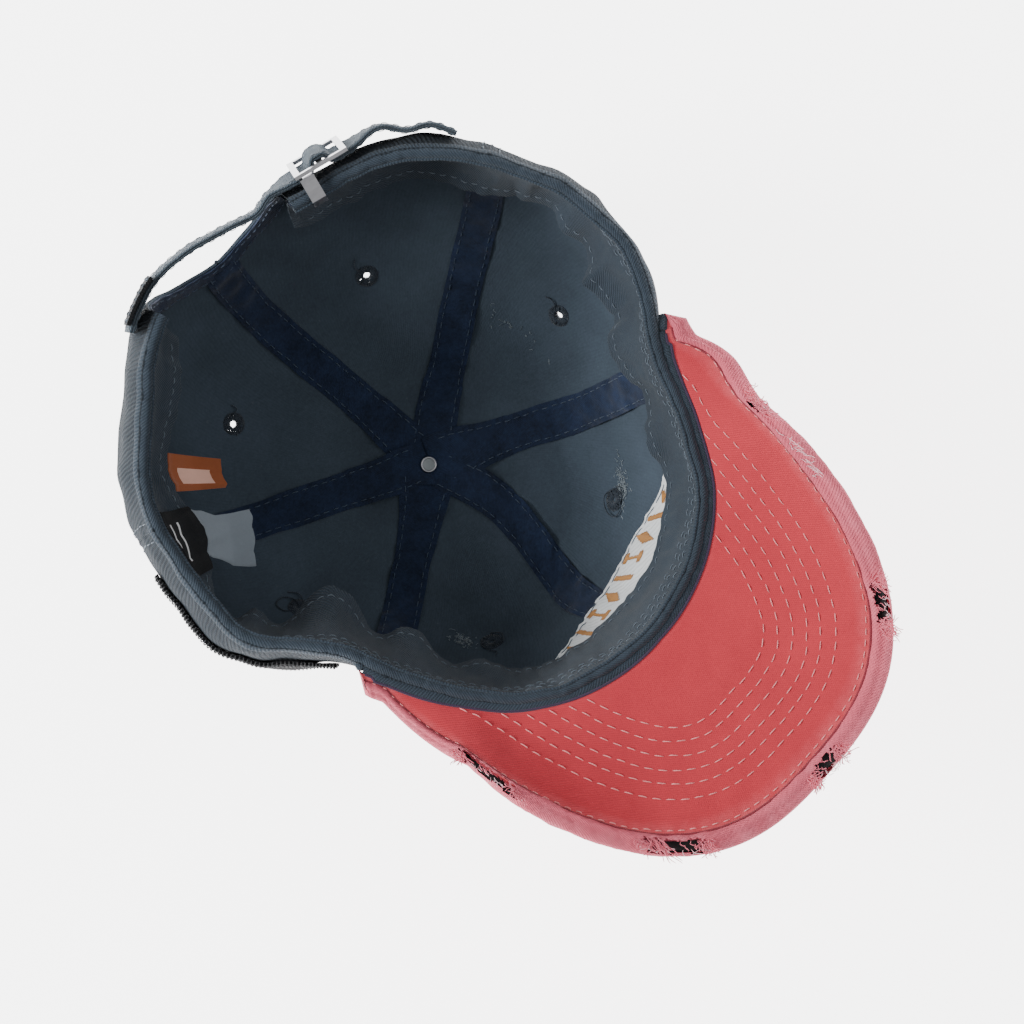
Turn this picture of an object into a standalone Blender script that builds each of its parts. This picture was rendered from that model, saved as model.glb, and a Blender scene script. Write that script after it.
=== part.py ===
"""Washed cotton cap with six crown panels and a curved brim, lying crown down.

Metres, +Z up. The brim points to -Y and the back opening to +Y. Angles round the crown
are measured from the front, positive towards +X. A place on the crown is an angle and a
rise, which is 0 at the button and 1 at the rim. A depth is measured from the outer face
of the cloth into the hollow.
"""
import math

import bmesh
import bpy
import numpy as np
from mathutils import Matrix, Vector

# Crown
CROWN_HEIGHT = 0.098
RIM_HALF_LENGTH = 0.0965
RIM_HALF_WIDTH = 0.092
CROWN_LEAN_X = 0.0090
CROWN_LEAN_Y = 0.0005
WALL = 0.0014
PIECE_GAP = 0.0004
LAYER_GAP = 0.0006
SEAM_DIP = 0.008

# Back opening
ARCH_HALF_WIDTH = 0.028
ARCH_DEPTH = 0.050
BINDING_WIDTH = 0.0075

# Sweatband and seam tapes
BAND_WIDTH = 0.036
BAND_THICKNESS = 0.0012
BAND_PROUD = 0.0008
TAPE_WIDTH = 0.014
TAPE_THICKNESS = 0.0006
TAPE_START = 0.0045
TAPE_END = 0.004

# Eyelets, button and rivet
EYELET_DISTANCE = 0.075
EYELET_HOLE = 0.0018
EYELET_BARREL = 0.0026
EYELET_FLANGE = 0.0050
EYELET_LIP = 0.0006
BUTTON_RADIUS = 0.0085
BUTTON_HEIGHT = 0.0037
RIVET_RADIUS = 0.0030
RIVET_HEAD = 0.0012
SHANK_RADIUS = 0.0011

# Brim
BRIM_HALF_WIDTH = 0.0765
BRIM_REACH = 0.1345
BRIM_ROOT_Y = -0.034
BRIM_CENTRE_X = 0.0115
BRIM_SQUARENESS = 2.65
BRIM_SPREAD = 66.0
BRIM_END_WIDTH = 0.008
BRIM_SIDE_RISE = 0.026
BRIM_TIP_RISE = 0.012
BRIM_SEAT = 0.0034
COVER_THICKNESS = 0.0010
BOARD_THICKNESS = 0.0016
ROLL_WIDTH = 0.0070
ROLL_NOSE = 0.0018

# Strap and buckle
STRAP_WIDTH = 0.019
STRAP_THICKNESS = 0.0018
BUCKLE_LENGTH = 0.0195
BUCKLE_BAR = 0.0022
BUCKLE_PLATE = 0.0012
BUCKLE_CENTRE = 26.5
BUCKLE_STAND = 0.0042
CLIP_THICKNESS = 0.0009
CLIP_REACH = 0.0024

# Labels and sewn-on pieces
LABEL_THICKNESS = 0.0006
LABEL_LENGTH = 0.0162
LABEL_STAND = 0.0151
PATCH_THICKNESS = 0.0011
PATCH_START = -113.0
PATCH_END = -72.0
PATCH_DROP = 0.0075
PATCH_HEIGHT = 0.034
PATCH_TOOTH = 0.0008
BACKING_THICKNESS = 0.0005
BACKING_DEPTH = 0.057
BACKING_TOP = 0.006
MOTIF_THICKNESS = 0.0010
MOTIF_HALF_WIDTH = 0.0056
MOTIF_HALF_HEIGHT = 0.011
MOTIF_DROP = 0.034
TAB_LENGTH = 0.015
TAB_WIDTH = 0.012
TAB_THICKNESS = 0.0012
TAB_WAY = -21.0

# Rim outline from the front to the back: angle in degrees, share of the oval's radius
RIM_OUTLINE = (
    (0, 1.020),
    (15, 1.005),
    (30, 0.970),
    (45, 0.905),
    (62, 0.868),
    (75, 0.895),
    (90, 0.970),
    (105, 1.000),
    (120, 1.010),
    (135, 1.004),
    (150, 0.988),
    (165, 0.976),
    (180, 0.974),
)

# Folds that push the rim in or out: angle, spread in degrees, share of the half width
RIM_FOLDS = (
    (-74, 10, -0.040),
    (-95, 6, 0.018),
    (-125, 13, 0.036),
    (-160, 12, 0.050),
    (80, 13, 0.028),
    (160, 15, -0.048),
)

# Crown sections from button to rim: rise, then reach and height at the front, side and back
CROWN_SECTIONS = (
    (0.000, 0.020, 0.046, 0.020, 0.046, 0.020, 0.046),
    (0.045, 0.085, 0.041, 0.085, 0.041, 0.085, 0.041),
    (0.085, 0.132, 0.006, 0.132, 0.006, 0.132, 0.006),
    (0.105, 0.158, 0.000, 0.158, 0.000, 0.158, 0.000),
    (0.210, 0.370, 0.000, 0.390, 0.000, 0.390, 0.000),
    (0.320, 0.570, 0.000, 0.590, 0.000, 0.590, 0.000),
    (0.385, 0.665, 0.035, 0.715, 0.028, 0.730, 0.028),
    (0.465, 0.755, 0.125, 0.840, 0.108, 0.870, 0.110),
    (0.545, 0.825, 0.250, 0.930, 0.220, 0.970, 0.225),
    (0.635, 0.885, 0.410, 1.000, 0.370, 1.050, 0.375),
    (0.740, 0.932, 0.575, 1.050, 0.550, 1.100, 0.555),
    (0.840, 0.965, 0.718, 1.070, 0.720, 1.112, 0.725),
    (0.920, 0.985, 0.820, 1.050, 0.870, 1.080, 0.865),
    (1.000, 1.000, 0.900, 1.000, 1.000, 1.000, 0.980),
)

# Rises of the rows of faces in a panel, up to where the back opening starts
LOWER_ROWS = (0.0, 0.045, 0.085, 0.105, 0.21, 0.32, 0.37, 0.42, 0.475, 0.55, 0.635)
UPPER_ROWS = (0.24, 0.47, 0.68, 0.86, 1.0)
PANEL_COLUMNS = 8
ARCH_COLUMNS = 6
REST_COLUMNS = 7

# Soft dents in the wall: angle, rise, spread in degrees, spread in rise, share of the half width
WALL_DENTS = (
    (-62, 0.86, 9, 0.10, -0.030),
    (-100, 0.72, 12, 0.08, 0.015),
    (58, 0.88, 10, 0.10, -0.018),
    (92, 0.66, 10, 0.07, -0.016),
    (-140, 0.60, 14, 0.06, -0.014),
    (130, 0.62, 16, 0.06, 0.012),
    (20, 0.62, 12, 0.08, -0.014),
    (-24, 0.58, 12, 0.07, 0.012),
)

# Sweatband gathers: angle, spread in degrees, stand-off of the free edge as a share of its width
BAND_GATHERS = (
    (-75, 8, 0.56),
    (-56, 8, 0.34),
    (-91, 6, 0.30),
    (-38, 8, 0.16),
    (84, 8, 0.40),
    (67, 7, 0.28),
    (98, 5, 0.14),
    (46, 8, 0.10),
)

# Strap from its root to its free end: way from the back centre towards +X in degrees, then its
# middle's stand-off from the crown and its drop below the rim, as shares of its width
STRAP_ROUTE = (
    (-31, 0.074, 0.579),
    (-24, 0.074, 0.579),
    (-18, 0.100, 0.579),
    (-11, 0.179, 0.553),
    (-4, 0.126, 0.553),
    (4, -0.032, 0.553),
    (10, -0.116, 0.579),
    (15, 0.068, 0.579),
    (20, 0.116, 0.579),
    (34, 0.168, 0.605),
    (39, 0.253, 0.632),
    (44, 0.116, 0.658),
    (48, 0.189, 0.684),
    (53, 0.074, 0.684),
)

# Tears in the rolled edge's upper lip: place along the brim from -1 to 1, half length
ROLL_TEARS = (
    (-0.700, 0.055),
    (-0.330, 0.060),
    (0.130, 0.035),
    (0.520, 0.040),
)

# Label sections: share of its length below the sweatband, share of its length off the wall
LABEL_SECTIONS = (
    (0.00, 0.00),
    (0.10, 0.04),
    (0.38, 0.27),
    (0.69, 0.60),
    (1.00, 1.00),
)

# Raised motifs outside the front: angle of each in degrees
MOTIF_ROW = (-24, -12, 0, 12, 24)

SLATE = (0.045, 0.062, 0.082, 1.0)
NAVY = (0.010, 0.018, 0.045, 1.0)
CORAL = (0.640, 0.105, 0.125, 1.0)
PINK = (0.720, 0.230, 0.290, 1.0)
BLACK = (0.010, 0.010, 0.012, 1.0)
WHITE = (0.620, 0.640, 0.650, 1.0)
GOLD = (0.600, 0.300, 0.080, 1.0)
BROWN = (0.250, 0.095, 0.040, 1.0)
GREY = (0.300, 0.330, 0.350, 1.0)
STEEL = (0.560, 0.560, 0.570, 1.0)


def clear_scene():
    for item in list(bpy.data.objects):
        bpy.data.objects.remove(item, do_unlink=True)


def material(name, colour, roughness=0.9, metallic=0.0):
    made = bpy.data.materials.new(name)
    made.use_nodes = True
    shader = made.node_tree.nodes["Principled BSDF"]
    shader.inputs["Base Color"].default_value = colour
    shader.inputs["Roughness"].default_value = roughness
    shader.inputs["Metallic"].default_value = metallic
    return made


def smooth_curve(table, column, place, level_ends=False):
    """Value of a table's column at a place, on a curve that never overshoots its rows."""
    rows = np.array(table, dtype=float)
    xs, ys = rows[:, 0], rows[:, column]
    steps = np.diff(xs)
    grades = np.diff(ys) / steps
    slopes = np.zeros(len(xs))
    for i in range(1, len(xs) - 1):
        if grades[i - 1] * grades[i] > 0:
            slopes[i] = 2 * grades[i - 1] * grades[i] / (grades[i - 1] + grades[i])
    if not level_ends:
        slopes[0], slopes[-1] = grades[0], grades[-1]
    place = np.asarray(place, dtype=float)
    i = np.clip(np.searchsorted(xs, place) - 1, 0, len(xs) - 2)
    s = (place - xs[i]) / steps[i]
    start = (1 + 2 * s) * (1 - s) ** 2 * ys[i] + s * (1 - s) ** 2 * steps[i] * slopes[i]
    end = s * s * (3 - 2 * s) * ys[i + 1] + s * s * (s - 1) * steps[i] * slopes[i + 1]
    return start + end


def turn_between(angle, centre):
    """Signed difference of two angles in degrees, the short way round."""
    return (angle - centre + 180.0) % 360.0 - 180.0


def rim_radius(angle):
    """Plan radius of the rim in metres at an angle in degrees."""
    a = np.radians(angle)
    oval = 1 / np.sqrt((np.sin(a) / RIM_HALF_WIDTH) ** 2 + (np.cos(a) / RIM_HALF_LENGTH) ** 2)
    away = np.abs(turn_between(angle, 0.0))
    radius = oval * smooth_curve(RIM_OUTLINE, 1, away, level_ends=True)
    for centre, spread, push in RIM_FOLDS:
        radius = radius + push * RIM_HALF_WIDTH * np.exp(-(turn_between(angle, centre) / spread) ** 2)
    return radius


def crown_point(angle, rise):
    """Point on the crown's outer face. Angle in degrees; arrays of equal shape are welcome."""
    angle, rise = np.broadcast_arrays(np.asarray(angle, float), np.asarray(rise, float))
    a = np.radians(angle)
    front = np.clip(np.cos(a), 0, 1) ** 1.5
    back = np.clip(-np.cos(a), 0, 1) ** 0.8
    side = 1 - front - back
    reach = (front * smooth_curve(CROWN_SECTIONS, 1, rise) + side * smooth_curve(CROWN_SECTIONS, 3, rise)
             + back * smooth_curve(CROWN_SECTIONS, 5, rise))
    height = (front * smooth_curve(CROWN_SECTIONS, 2, rise) + side * smooth_curve(CROWN_SECTIONS, 4, rise)
              + back * smooth_curve(CROWN_SECTIONS, 6, rise))
    valley = SEAM_DIP * (1 - np.abs(np.sin(3 * a))) ** 2 * np.clip((rise - 0.3) / 0.3, 0, 1)
    radius = rim_radius(angle) * reach * (1 - valley)
    for centre, level, spread, span, push in WALL_DENTS:
        near = (turn_between(angle, centre) / spread) ** 2 + ((rise - level) / span) ** 2
        radius = radius + push * RIM_HALF_WIDTH * np.exp(-near)
    x = CROWN_LEAN_X * height + radius * np.sin(a)
    y = CROWN_LEAN_Y * height - radius * np.cos(a)
    return np.stack([x, y, height * CROWN_HEIGHT], axis=-1)


def crown_normal(angle, rise):
    """Unit normal of the crown, pointing out of the cap."""
    turn, step = 0.6, 0.004
    along = crown_point(angle + turn, rise) - crown_point(angle - turn, rise)
    up = crown_point(angle, rise + step) - crown_point(angle, np.maximum(rise - step, 0.0))
    normal = np.cross(along, up)
    return normal / np.linalg.norm(normal, axis=-1, keepdims=True)


def crown_at(angle, rise, depth):
    """Point at a depth under the crown's outer face."""
    angle, rise, depth = np.broadcast_arrays(
        np.asarray(angle, float), np.asarray(rise, float), np.asarray(depth, float))
    return crown_point(angle, rise) - crown_normal(angle, rise) * depth[..., None]


def rise_below_rim(angle, distance):
    """Rise of the place that lies a distance below the rim, measured along the cloth."""
    angle, distance = np.broadcast_arrays(np.asarray(angle, float), np.asarray(distance, float))
    rises = np.linspace(1.0, 0.1, 181)
    result = np.empty(angle.size)
    for i, (a, d) in enumerate(zip(angle.ravel(), distance.ravel())):
        points = crown_point(np.full(rises.size, a), rises)
        walked = np.concatenate([[0.0], np.cumsum(np.linalg.norm(np.diff(points, axis=0), axis=1))])
        if d < 0:
            result[i] = 1.0 - d / walked[1] * (rises[0] - rises[1])
        else:
            result[i] = np.interp(d, walked, rises)
    return result.reshape(angle.shape)


def rise_from_button(angle, distance):
    """Rise of the place that lies a distance from the button, measured along the cloth."""
    rises = np.linspace(0.0, 0.95, 191)
    points = crown_point(np.full(rises.size, float(angle)), rises)
    walked = np.concatenate([[0.0], np.cumsum(np.linalg.norm(np.diff(points, axis=0), axis=1))])
    return float(np.interp(distance, walked, rises))


def keep(name, mesh, look):
    """Wrap a mesh in a named object with outward faces."""
    builder = bmesh.new()
    builder.from_mesh(mesh)
    bmesh.ops.recalc_face_normals(builder, faces=builder.faces)
    builder.to_mesh(mesh)
    builder.free()
    mesh.materials.append(look)
    mesh.shade_smooth()
    mesh.set_sharp_from_angle(angle=math.radians(50))
    made = bpy.data.objects.new(name, mesh)
    bpy.context.collection.objects.link(made)
    return made


def layered_solid(name, outer, inner, look, ring=False):
    """Closed solid between two equal grids of points, columns first."""
    columns, rows = outer.shape[:2]
    count = columns * rows
    points = np.concatenate([outer.reshape(-1, 3), inner.reshape(-1, 3)])
    faces = []
    spans = columns if ring else columns - 1

    def index(i, j, layer):
        return (i % columns) * rows + j + layer * count

    for i in range(spans):
        for j in range(rows - 1):
            faces.append([index(i, j, 0), index(i + 1, j, 0), index(i + 1, j + 1, 0), index(i, j + 1, 0)])
            faces.append([index(i, j, 1), index(i, j + 1, 1), index(i + 1, j + 1, 1), index(i + 1, j, 1)])
        for j in (0, rows - 1):
            faces.append([index(i, j, 0), index(i, j, 1), index(i + 1, j, 1), index(i + 1, j, 0)])
    if not ring:
        for i in (0, columns - 1):
            for j in range(rows - 1):
                faces.append([index(i, j, 0), index(i, j + 1, 0), index(i, j + 1, 1), index(i, j, 1)])
    mesh = bpy.data.meshes.new(name)
    mesh.from_pydata(points.tolist(), [], faces)
    mesh.update()
    return keep(name, mesh, look)


def swept_solid(name, sections, look, ring=False):
    """Closed solid through equal loops of points, capped at its ends unless it is a ring."""
    stations, sides = sections.shape[:2]
    faces = []
    for i in range(stations if ring else stations - 1):
        for j in range(sides):
            a, b = i * sides + j, i * sides + (j + 1) % sides
            c, d = ((i + 1) % stations) * sides + (j + 1) % sides, ((i + 1) % stations) * sides + j
            faces.append([a, b, c, d])
    if not ring:
        faces.append(list(range(sides)))
        faces.append([(stations - 1) * sides + j for j in reversed(range(sides))])
    mesh = bpy.data.meshes.new(name)
    mesh.from_pydata(sections.reshape(-1, 3).tolist(), [], faces)
    mesh.update()
    return keep(name, mesh, look)


def turned_solid(name, profile, look, sides=20):
    """Solid turned round the crown's axis from pairs of radius and height, both ends on the axis."""
    builder = bmesh.new()
    points = [builder.verts.new((radius, 0.0, height)) for radius, height in profile]
    edges = [builder.edges.new((points[i], points[i + 1])) for i in range(len(points) - 1)]
    bmesh.ops.spin(builder, geom=points + edges, cent=(0, 0, 0), axis=(0, 0, 1),
                   angle=math.tau, steps=sides, use_merge=True)
    bmesh.ops.remove_doubles(builder, verts=builder.verts, dist=0.00001)
    mesh = bpy.data.meshes.new(name)
    builder.to_mesh(mesh)
    builder.free()
    return keep(name, mesh, look)


def arch_half_angle():
    """Half width of the back opening at the rim, in degrees."""
    return math.degrees(ARCH_HALF_WIDTH / float(rim_radius(180.0)))


def arch_top(way):
    """Rise of the cloth's edge at a way from the back centre in degrees."""
    share = np.clip(np.abs(np.asarray(way, float)) / arch_half_angle(), 0, 1)
    return rise_below_rim(180.0 - np.asarray(way, float), ARCH_DEPTH * np.sqrt(1 - share ** 2))


def panel_rises(top=1.0):
    """Rises of a panel's rows, of which only the upper ones follow its upper edge."""
    lower = np.array(LOWER_ROWS)
    return np.concatenate([lower, lower[-1] + (top - lower[-1]) * np.array(UPPER_ROWS)])


def panel(name, start, end, look, opens_at=None):
    """One crown panel between two seam angles in degrees."""
    if opens_at is None:
        shares = np.linspace(0, 1, PANEL_COLUMNS + 1)
    else:
        reach = arch_half_angle() / abs(end - start)
        bound = reach + math.degrees(BINDING_WIDTH / float(rim_radius(180.0))) / abs(end - start)
        bend = reach * np.sin(np.linspace(0, math.pi / 2, ARCH_COLUMNS + 1))
        shares = np.concatenate([bend, np.linspace(bound, 1, REST_COLUMNS)])
        if opens_at == end:
            shares = 1 - shares[::-1]
    middles = start + (end - start) * shares
    if opens_at is None:
        tops = np.ones(middles.size)
    else:
        tops = arch_top(turn_between(180.0, middles))
    columns = []
    for middle, share, top in zip(middles, shares, tops):
        rises = panel_rises(top)
        points = crown_point(np.full(rises.size, middle), rises)
        radius = np.hypot(points[:, 0], points[:, 1])
        trim = np.degrees(PIECE_GAP / 2 / radius) * (1 - 2 * share) * np.sign(end - start)
        columns.append((middle + trim, rises))
    angles = np.array([column[0] for column in columns])
    rises = np.array([column[1] for column in columns])
    outer = crown_at(angles, rises, 0.0)
    inner = crown_at(angles, rises, WALL)
    return layered_solid(name, outer, inner, look)


def tape_depth():
    return WALL + LAYER_GAP


def band_depth(angle, distance):
    """Depth of the sweatband's outer face, which swells away from the wall in its gathers."""
    base = tape_depth() + TAPE_THICKNESS + LAYER_GAP
    share = np.clip(distance / BAND_WIDTH, 0, 1)
    stand = 0.02
    for centre, spread, push in BAND_GATHERS:
        stand = stand + push * np.exp(-(turn_between(angle, centre) / spread) ** 2)
    return base + stand * BAND_WIDTH * share ** 1.5


def sweatband(look):
    edge = 180.0 - arch_half_angle()
    angles = np.linspace(-edge, edge, 47)
    distances = np.array([-BAND_PROUD, 0.10 * BAND_WIDTH, 0.40 * BAND_WIDTH, 0.70 * BAND_WIDTH, BAND_WIDTH])
    a, d = np.meshgrid(angles, distances, indexing="ij")
    rises = rise_below_rim(a, d)
    depth = band_depth(a, d)
    outer = crown_at(a, rises, depth)
    inner = crown_at(a, rises, depth + BAND_THICKNESS)
    return layered_solid("sweatband", outer, inner, look)


def tape(name, angle, end_distance, look):
    """Seam tape along one seam, mitred where the six meet under the rivet."""
    last = float(rise_below_rim(angle, end_distance))
    start = rise_from_button(angle, TAPE_START)
    rises = np.array([start] + [rise for rise in panel_rises() if start + 0.005 < rise < last - 0.01] + [last])
    depth = tape_depth() + 0.0005 * np.clip((0.16 - rises) / 0.05, 0, 1)
    outer, inner = [], []
    for side in (-1, 0, 1):
        middle = crown_point(np.full(rises.size, angle), rises)
        radius = np.hypot(middle[:, 0], middle[:, 1])
        half = np.minimum(TAPE_WIDTH / 2, radius * math.tan(math.radians(29)) - PIECE_GAP)
        angles = angle + side * np.degrees(half / radius)
        outer.append(crown_at(angles, rises, depth))
        inner.append(crown_at(angles, rises, depth + TAPE_THICKNESS))
    return layered_solid(name, np.array(outer), np.array(inner), look)


def eyelet_frame(angle):
    """Angle, rise and the turn and rise for one metre along the cloth at an eyelet."""
    rise = rise_from_button(angle, EYELET_DISTANCE)
    turn_span = np.linalg.norm(crown_point(angle + 1.0, rise) - crown_point(angle - 1.0, rise)) / 2.0
    rise_span = np.linalg.norm(crown_point(angle, rise + 0.01) - crown_point(angle, rise - 0.01)) / 0.02
    return rise, 1.0 / turn_span, 1.0 / rise_span


def eyelet(name, angle, look):
    """Stitched eyelet: a short sleeve through the panel with a flange on each face."""
    rise, per_turn, per_rise = eyelet_frame(angle)
    proud = 1.2 * LAYER_GAP
    profile = (
        (EYELET_HOLE, -proud - EYELET_LIP), (EYELET_FLANGE, -proud - EYELET_LIP), (EYELET_FLANGE, -proud),
        (EYELET_BARREL, -proud), (EYELET_BARREL, WALL + proud), (EYELET_FLANGE, WALL + proud),
        (EYELET_FLANGE, WALL + proud + EYELET_LIP), (EYELET_HOLE, WALL + proud + EYELET_LIP),
    )
    stations = []
    for turn in np.linspace(0, math.tau, 9, endpoint=False):
        radii = np.array([point[0] for point in profile])
        depths = np.array([point[1] for point in profile])
        angles = angle + radii * math.cos(turn) * per_turn
        rises = rise + radii * math.sin(turn) * per_rise
        stations.append(crown_point(angles, rises) - crown_normal(angle, rise) * depths[:, None])
    return swept_solid(name, np.array(stations), look, ring=True)


def eyelet_hole(name, angle, holder):
    """Round hole through a panel for its eyelet's sleeve."""
    rise, per_turn, per_rise = eyelet_frame(angle)
    centre = Vector(crown_at(angle, rise, WALL / 2))
    normal = Vector(crown_normal(angle, rise))
    builder = bmesh.new()
    placed = Matrix.Translation(centre) @ normal.to_track_quat("Z", "Y").to_matrix().to_4x4()
    hole = EYELET_BARREL + PIECE_GAP
    bmesh.ops.create_cone(builder, cap_ends=True, segments=12, radius1=hole, radius2=hole,
                          depth=WALL * 6, matrix=placed)
    mesh = bpy.data.meshes.new(name)
    builder.to_mesh(mesh)
    builder.free()
    cutter = bpy.data.objects.new(name, mesh)
    bpy.context.collection.objects.link(cutter)
    cutter.hide_render = True
    cutter.display_type = "WIRE"
    cut = holder.modifiers.new("eyelet_hole", "BOOLEAN")
    cut.operation = "DIFFERENCE"
    cut.solver = "EXACT"
    cut.object = cutter
    return cutter


def button(look):
    floor = 0.0
    return turned_solid("button", (
        (0.0, floor), (0.62 * BUTTON_RADIUS, floor), (0.88 * BUTTON_RADIUS, 0.16 * BUTTON_HEIGHT),
        (BUTTON_RADIUS, 0.5 * BUTTON_HEIGHT), (0.86 * BUTTON_RADIUS, 0.86 * BUTTON_HEIGHT),
        (0.5 * BUTTON_RADIUS, BUTTON_HEIGHT), (0.0, BUTTON_HEIGHT)), look)


def rivet(look):
    inner_face = CROWN_SECTIONS[0][2] * CROWN_HEIGHT + tape_depth() + TAPE_THICKNESS
    low = inner_face + PIECE_GAP + 0.0005
    return turned_solid("rivet", (
        (0.0, BUTTON_HEIGHT + PIECE_GAP), (SHANK_RADIUS, BUTTON_HEIGHT + PIECE_GAP), (SHANK_RADIUS, low),
        (RIVET_RADIUS, low), (RIVET_RADIUS, low + 0.5 * RIVET_HEAD), (0.8 * RIVET_RADIUS, low + RIVET_HEAD),
        (0.0, low + 0.8 * RIVET_HEAD)), look, sides=16)


def brim_columns():
    """Places along the brim from its left end at -1 to its right end at 1."""
    even = np.linspace(-1, 1, 25)
    return 0.35 * np.sin(even * math.pi / 2) + 0.65 * even


def brim_seam(place):
    """Inner edge of the brim, just outside the crown's rim."""
    angle = BRIM_SPREAD * place
    rim = crown_point(angle, 1.0)
    low = rise_below_rim(angle, 2.6 * BRIM_SEAT)
    samples = [crown_point(angle, low + (1.0 - low) * share) for share in np.linspace(0, 1, 5)]
    centre = np.array([CROWN_LEAN_X, CROWN_LEAN_Y])
    reach = np.max([np.linalg.norm(sample[..., :2] - centre, axis=-1) for sample in samples], axis=0)
    away = rim[..., :2] - centre
    away = away / np.linalg.norm(away, axis=-1, keepdims=True)
    plan = centre + away * (reach + 1.6 * PIECE_GAP)[..., None]
    return np.concatenate([plan, rim[..., 2:] - BRIM_SEAT], axis=-1)


def squared_oval(turn):
    """Shares of the brim's half width and reach at a turn of the outline's angle."""
    power = 2 / BRIM_SQUARENESS
    return np.sign(turn) * np.abs(np.sin(turn)) ** power, np.clip(np.cos(turn), 0, 1) ** power


def brim_edge(place):
    """Outer edge of the brim: a squared oval whose sides curl up and whose tip rises a little."""
    turns = np.linspace(0, math.pi / 2, 400)
    across, forward = squared_oval(turns)
    walked = np.cumsum(np.hypot(np.diff(across) * BRIM_HALF_WIDTH, np.diff(forward) * BRIM_REACH))
    walked = np.concatenate([[0.0], walked]) / walked[-1]
    place = np.asarray(place, float)
    across, forward = squared_oval(np.sign(place) * np.interp(np.abs(place), walked, turns))
    seam = brim_seam(place)
    front = brim_seam(np.zeros(1))[0]
    x = BRIM_CENTRE_X + BRIM_HALF_WIDTH * across
    y = BRIM_ROOT_Y - BRIM_REACH * forward
    z = front[2] + BRIM_TIP_RISE * forward + BRIM_SIDE_RISE * np.abs(across) ** 2.2
    away = np.stack([x, y], axis=-1) - seam[..., :2]
    length = np.linalg.norm(away, axis=-1, keepdims=True)
    least = np.maximum(length, BRIM_END_WIDTH)
    angle = np.radians(BRIM_SPREAD * place)
    outward = np.stack([np.sin(angle), -np.cos(angle)], axis=-1)
    narrow = np.clip(1 - (length - BRIM_END_WIDTH) / 0.016, 0, 1)
    way = away / np.maximum(length, 1e-6) + outward * narrow
    plan = seam[..., :2] + way / np.linalg.norm(way, axis=-1, keepdims=True) * least
    fade = np.clip((length[..., 0] - BRIM_END_WIDTH) / 0.03, 0, 1)
    fade = fade * fade * (3 - 2 * fade)
    height = seam[..., 2] + (z - seam[..., 2]) * fade
    return np.concatenate([plan, height[..., None]], axis=-1)


def brim_point(place, across):
    """Point on the brim's middle surface: across is 0 at the seam and 1 at the outer edge."""
    seam, edge = brim_seam(place), brim_edge(place)
    across = np.asarray(across)[..., None]
    point = seam + (edge - seam) * across
    sag = 0.10 * (edge[..., 2] - seam[..., 2])
    point[..., 2] = point[..., 2] - sag * 4 * across[..., 0] * (1 - across[..., 0])
    return point


def brim_normal(place, across):
    """Unit normal of the brim, pointing up as the cap lies."""
    step = 0.01
    low, high = np.clip(place - step, -1, 1), np.clip(place + step, -1, 1)
    along = brim_point(high, across) - brim_point(low, across)
    out = brim_point(place, np.asarray(across) + step) - brim_point(place, np.asarray(across) - step)
    normal = np.cross(out, along)
    normal = normal / np.linalg.norm(normal, axis=-1, keepdims=True)
    normal = normal * np.sign(normal[..., 2:])
    free = np.clip(np.asarray(across) / 0.15, 0, 1)[..., None]
    normal = normal * free + np.array([0, 0, 1.0]) * (1 - free)
    return normal / np.linalg.norm(normal, axis=-1, keepdims=True)


def brim_crease(place):
    """Share across the brim at which the rolled edge starts."""
    width = np.linalg.norm(brim_edge(place) - brim_seam(place), axis=-1)
    return 1 - np.minimum(ROLL_WIDTH, 0.7 * width) / width


def brim_layer(name, low, high, look, into_roll=0.0):
    """One layer of the brim between two heights over its middle surface."""
    places = brim_columns()
    crease = brim_crease(places)
    width = np.linalg.norm(brim_edge(places) - brim_seam(places), axis=-1)
    roll = (1 - crease) * width
    near_end = np.clip((np.abs(places) - 0.66) / 0.07, 0, 1)
    crease_gap = PIECE_GAP * (1 + 2.5 * near_end)
    end = crease - crease_gap / width + into_roll * (1 - near_end) * (roll - ROLL_NOSE - PIECE_GAP) / width
    shares = np.linspace(0, 1, 4)
    a = np.repeat(places[:, None], shares.size, axis=1)
    b = end[:, None] * shares[None, :]
    middle, normal = brim_point(a, b), brim_normal(a, b)
    return layered_solid(name, middle + normal * high, middle + normal * low, look)


def roll_loop(roll, gone):
    """Section of the rolled edge: run from the crease and height, with a share of its upper lip gone."""
    top = BOARD_THICKNESS / 2 + LAYER_GAP
    lip = top + COVER_THICKNESS
    start = gone * (roll - ROLL_NOSE - 0.0002)
    return np.array((
        (start, lip * (1 - 0.1 * gone)), (start + 0.5 * (roll - start), lip + 0.0003 - 0.0005 * gone),
        (start + 0.88 * (roll - start), 0.72 * lip), (roll, 0.0),
        (0.88 * roll, -0.72 * lip), (0.5 * roll, -lip - 0.0003), (0.0, -lip), (0.0, -top),
        (roll - ROLL_NOSE, -top), (roll - ROLL_NOSE + 0.0004, 0.0),
        (roll - ROLL_NOSE, top), (start, top),
    ))


def roll_section(place, gone):
    """The rolled edge's loop of points at one of the brim's columns."""
    crease = float(brim_crease(np.array(place)))
    width = float(np.linalg.norm(brim_edge(np.array(place)) - brim_seam(np.array(place))))
    loop = roll_loop((1 - crease) * width, gone)
    across = crease + loop[:, 0] / width
    along = np.full(across.size, place)
    return brim_point(along, across) + brim_normal(along, across) * loop[:, 1:]


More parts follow.
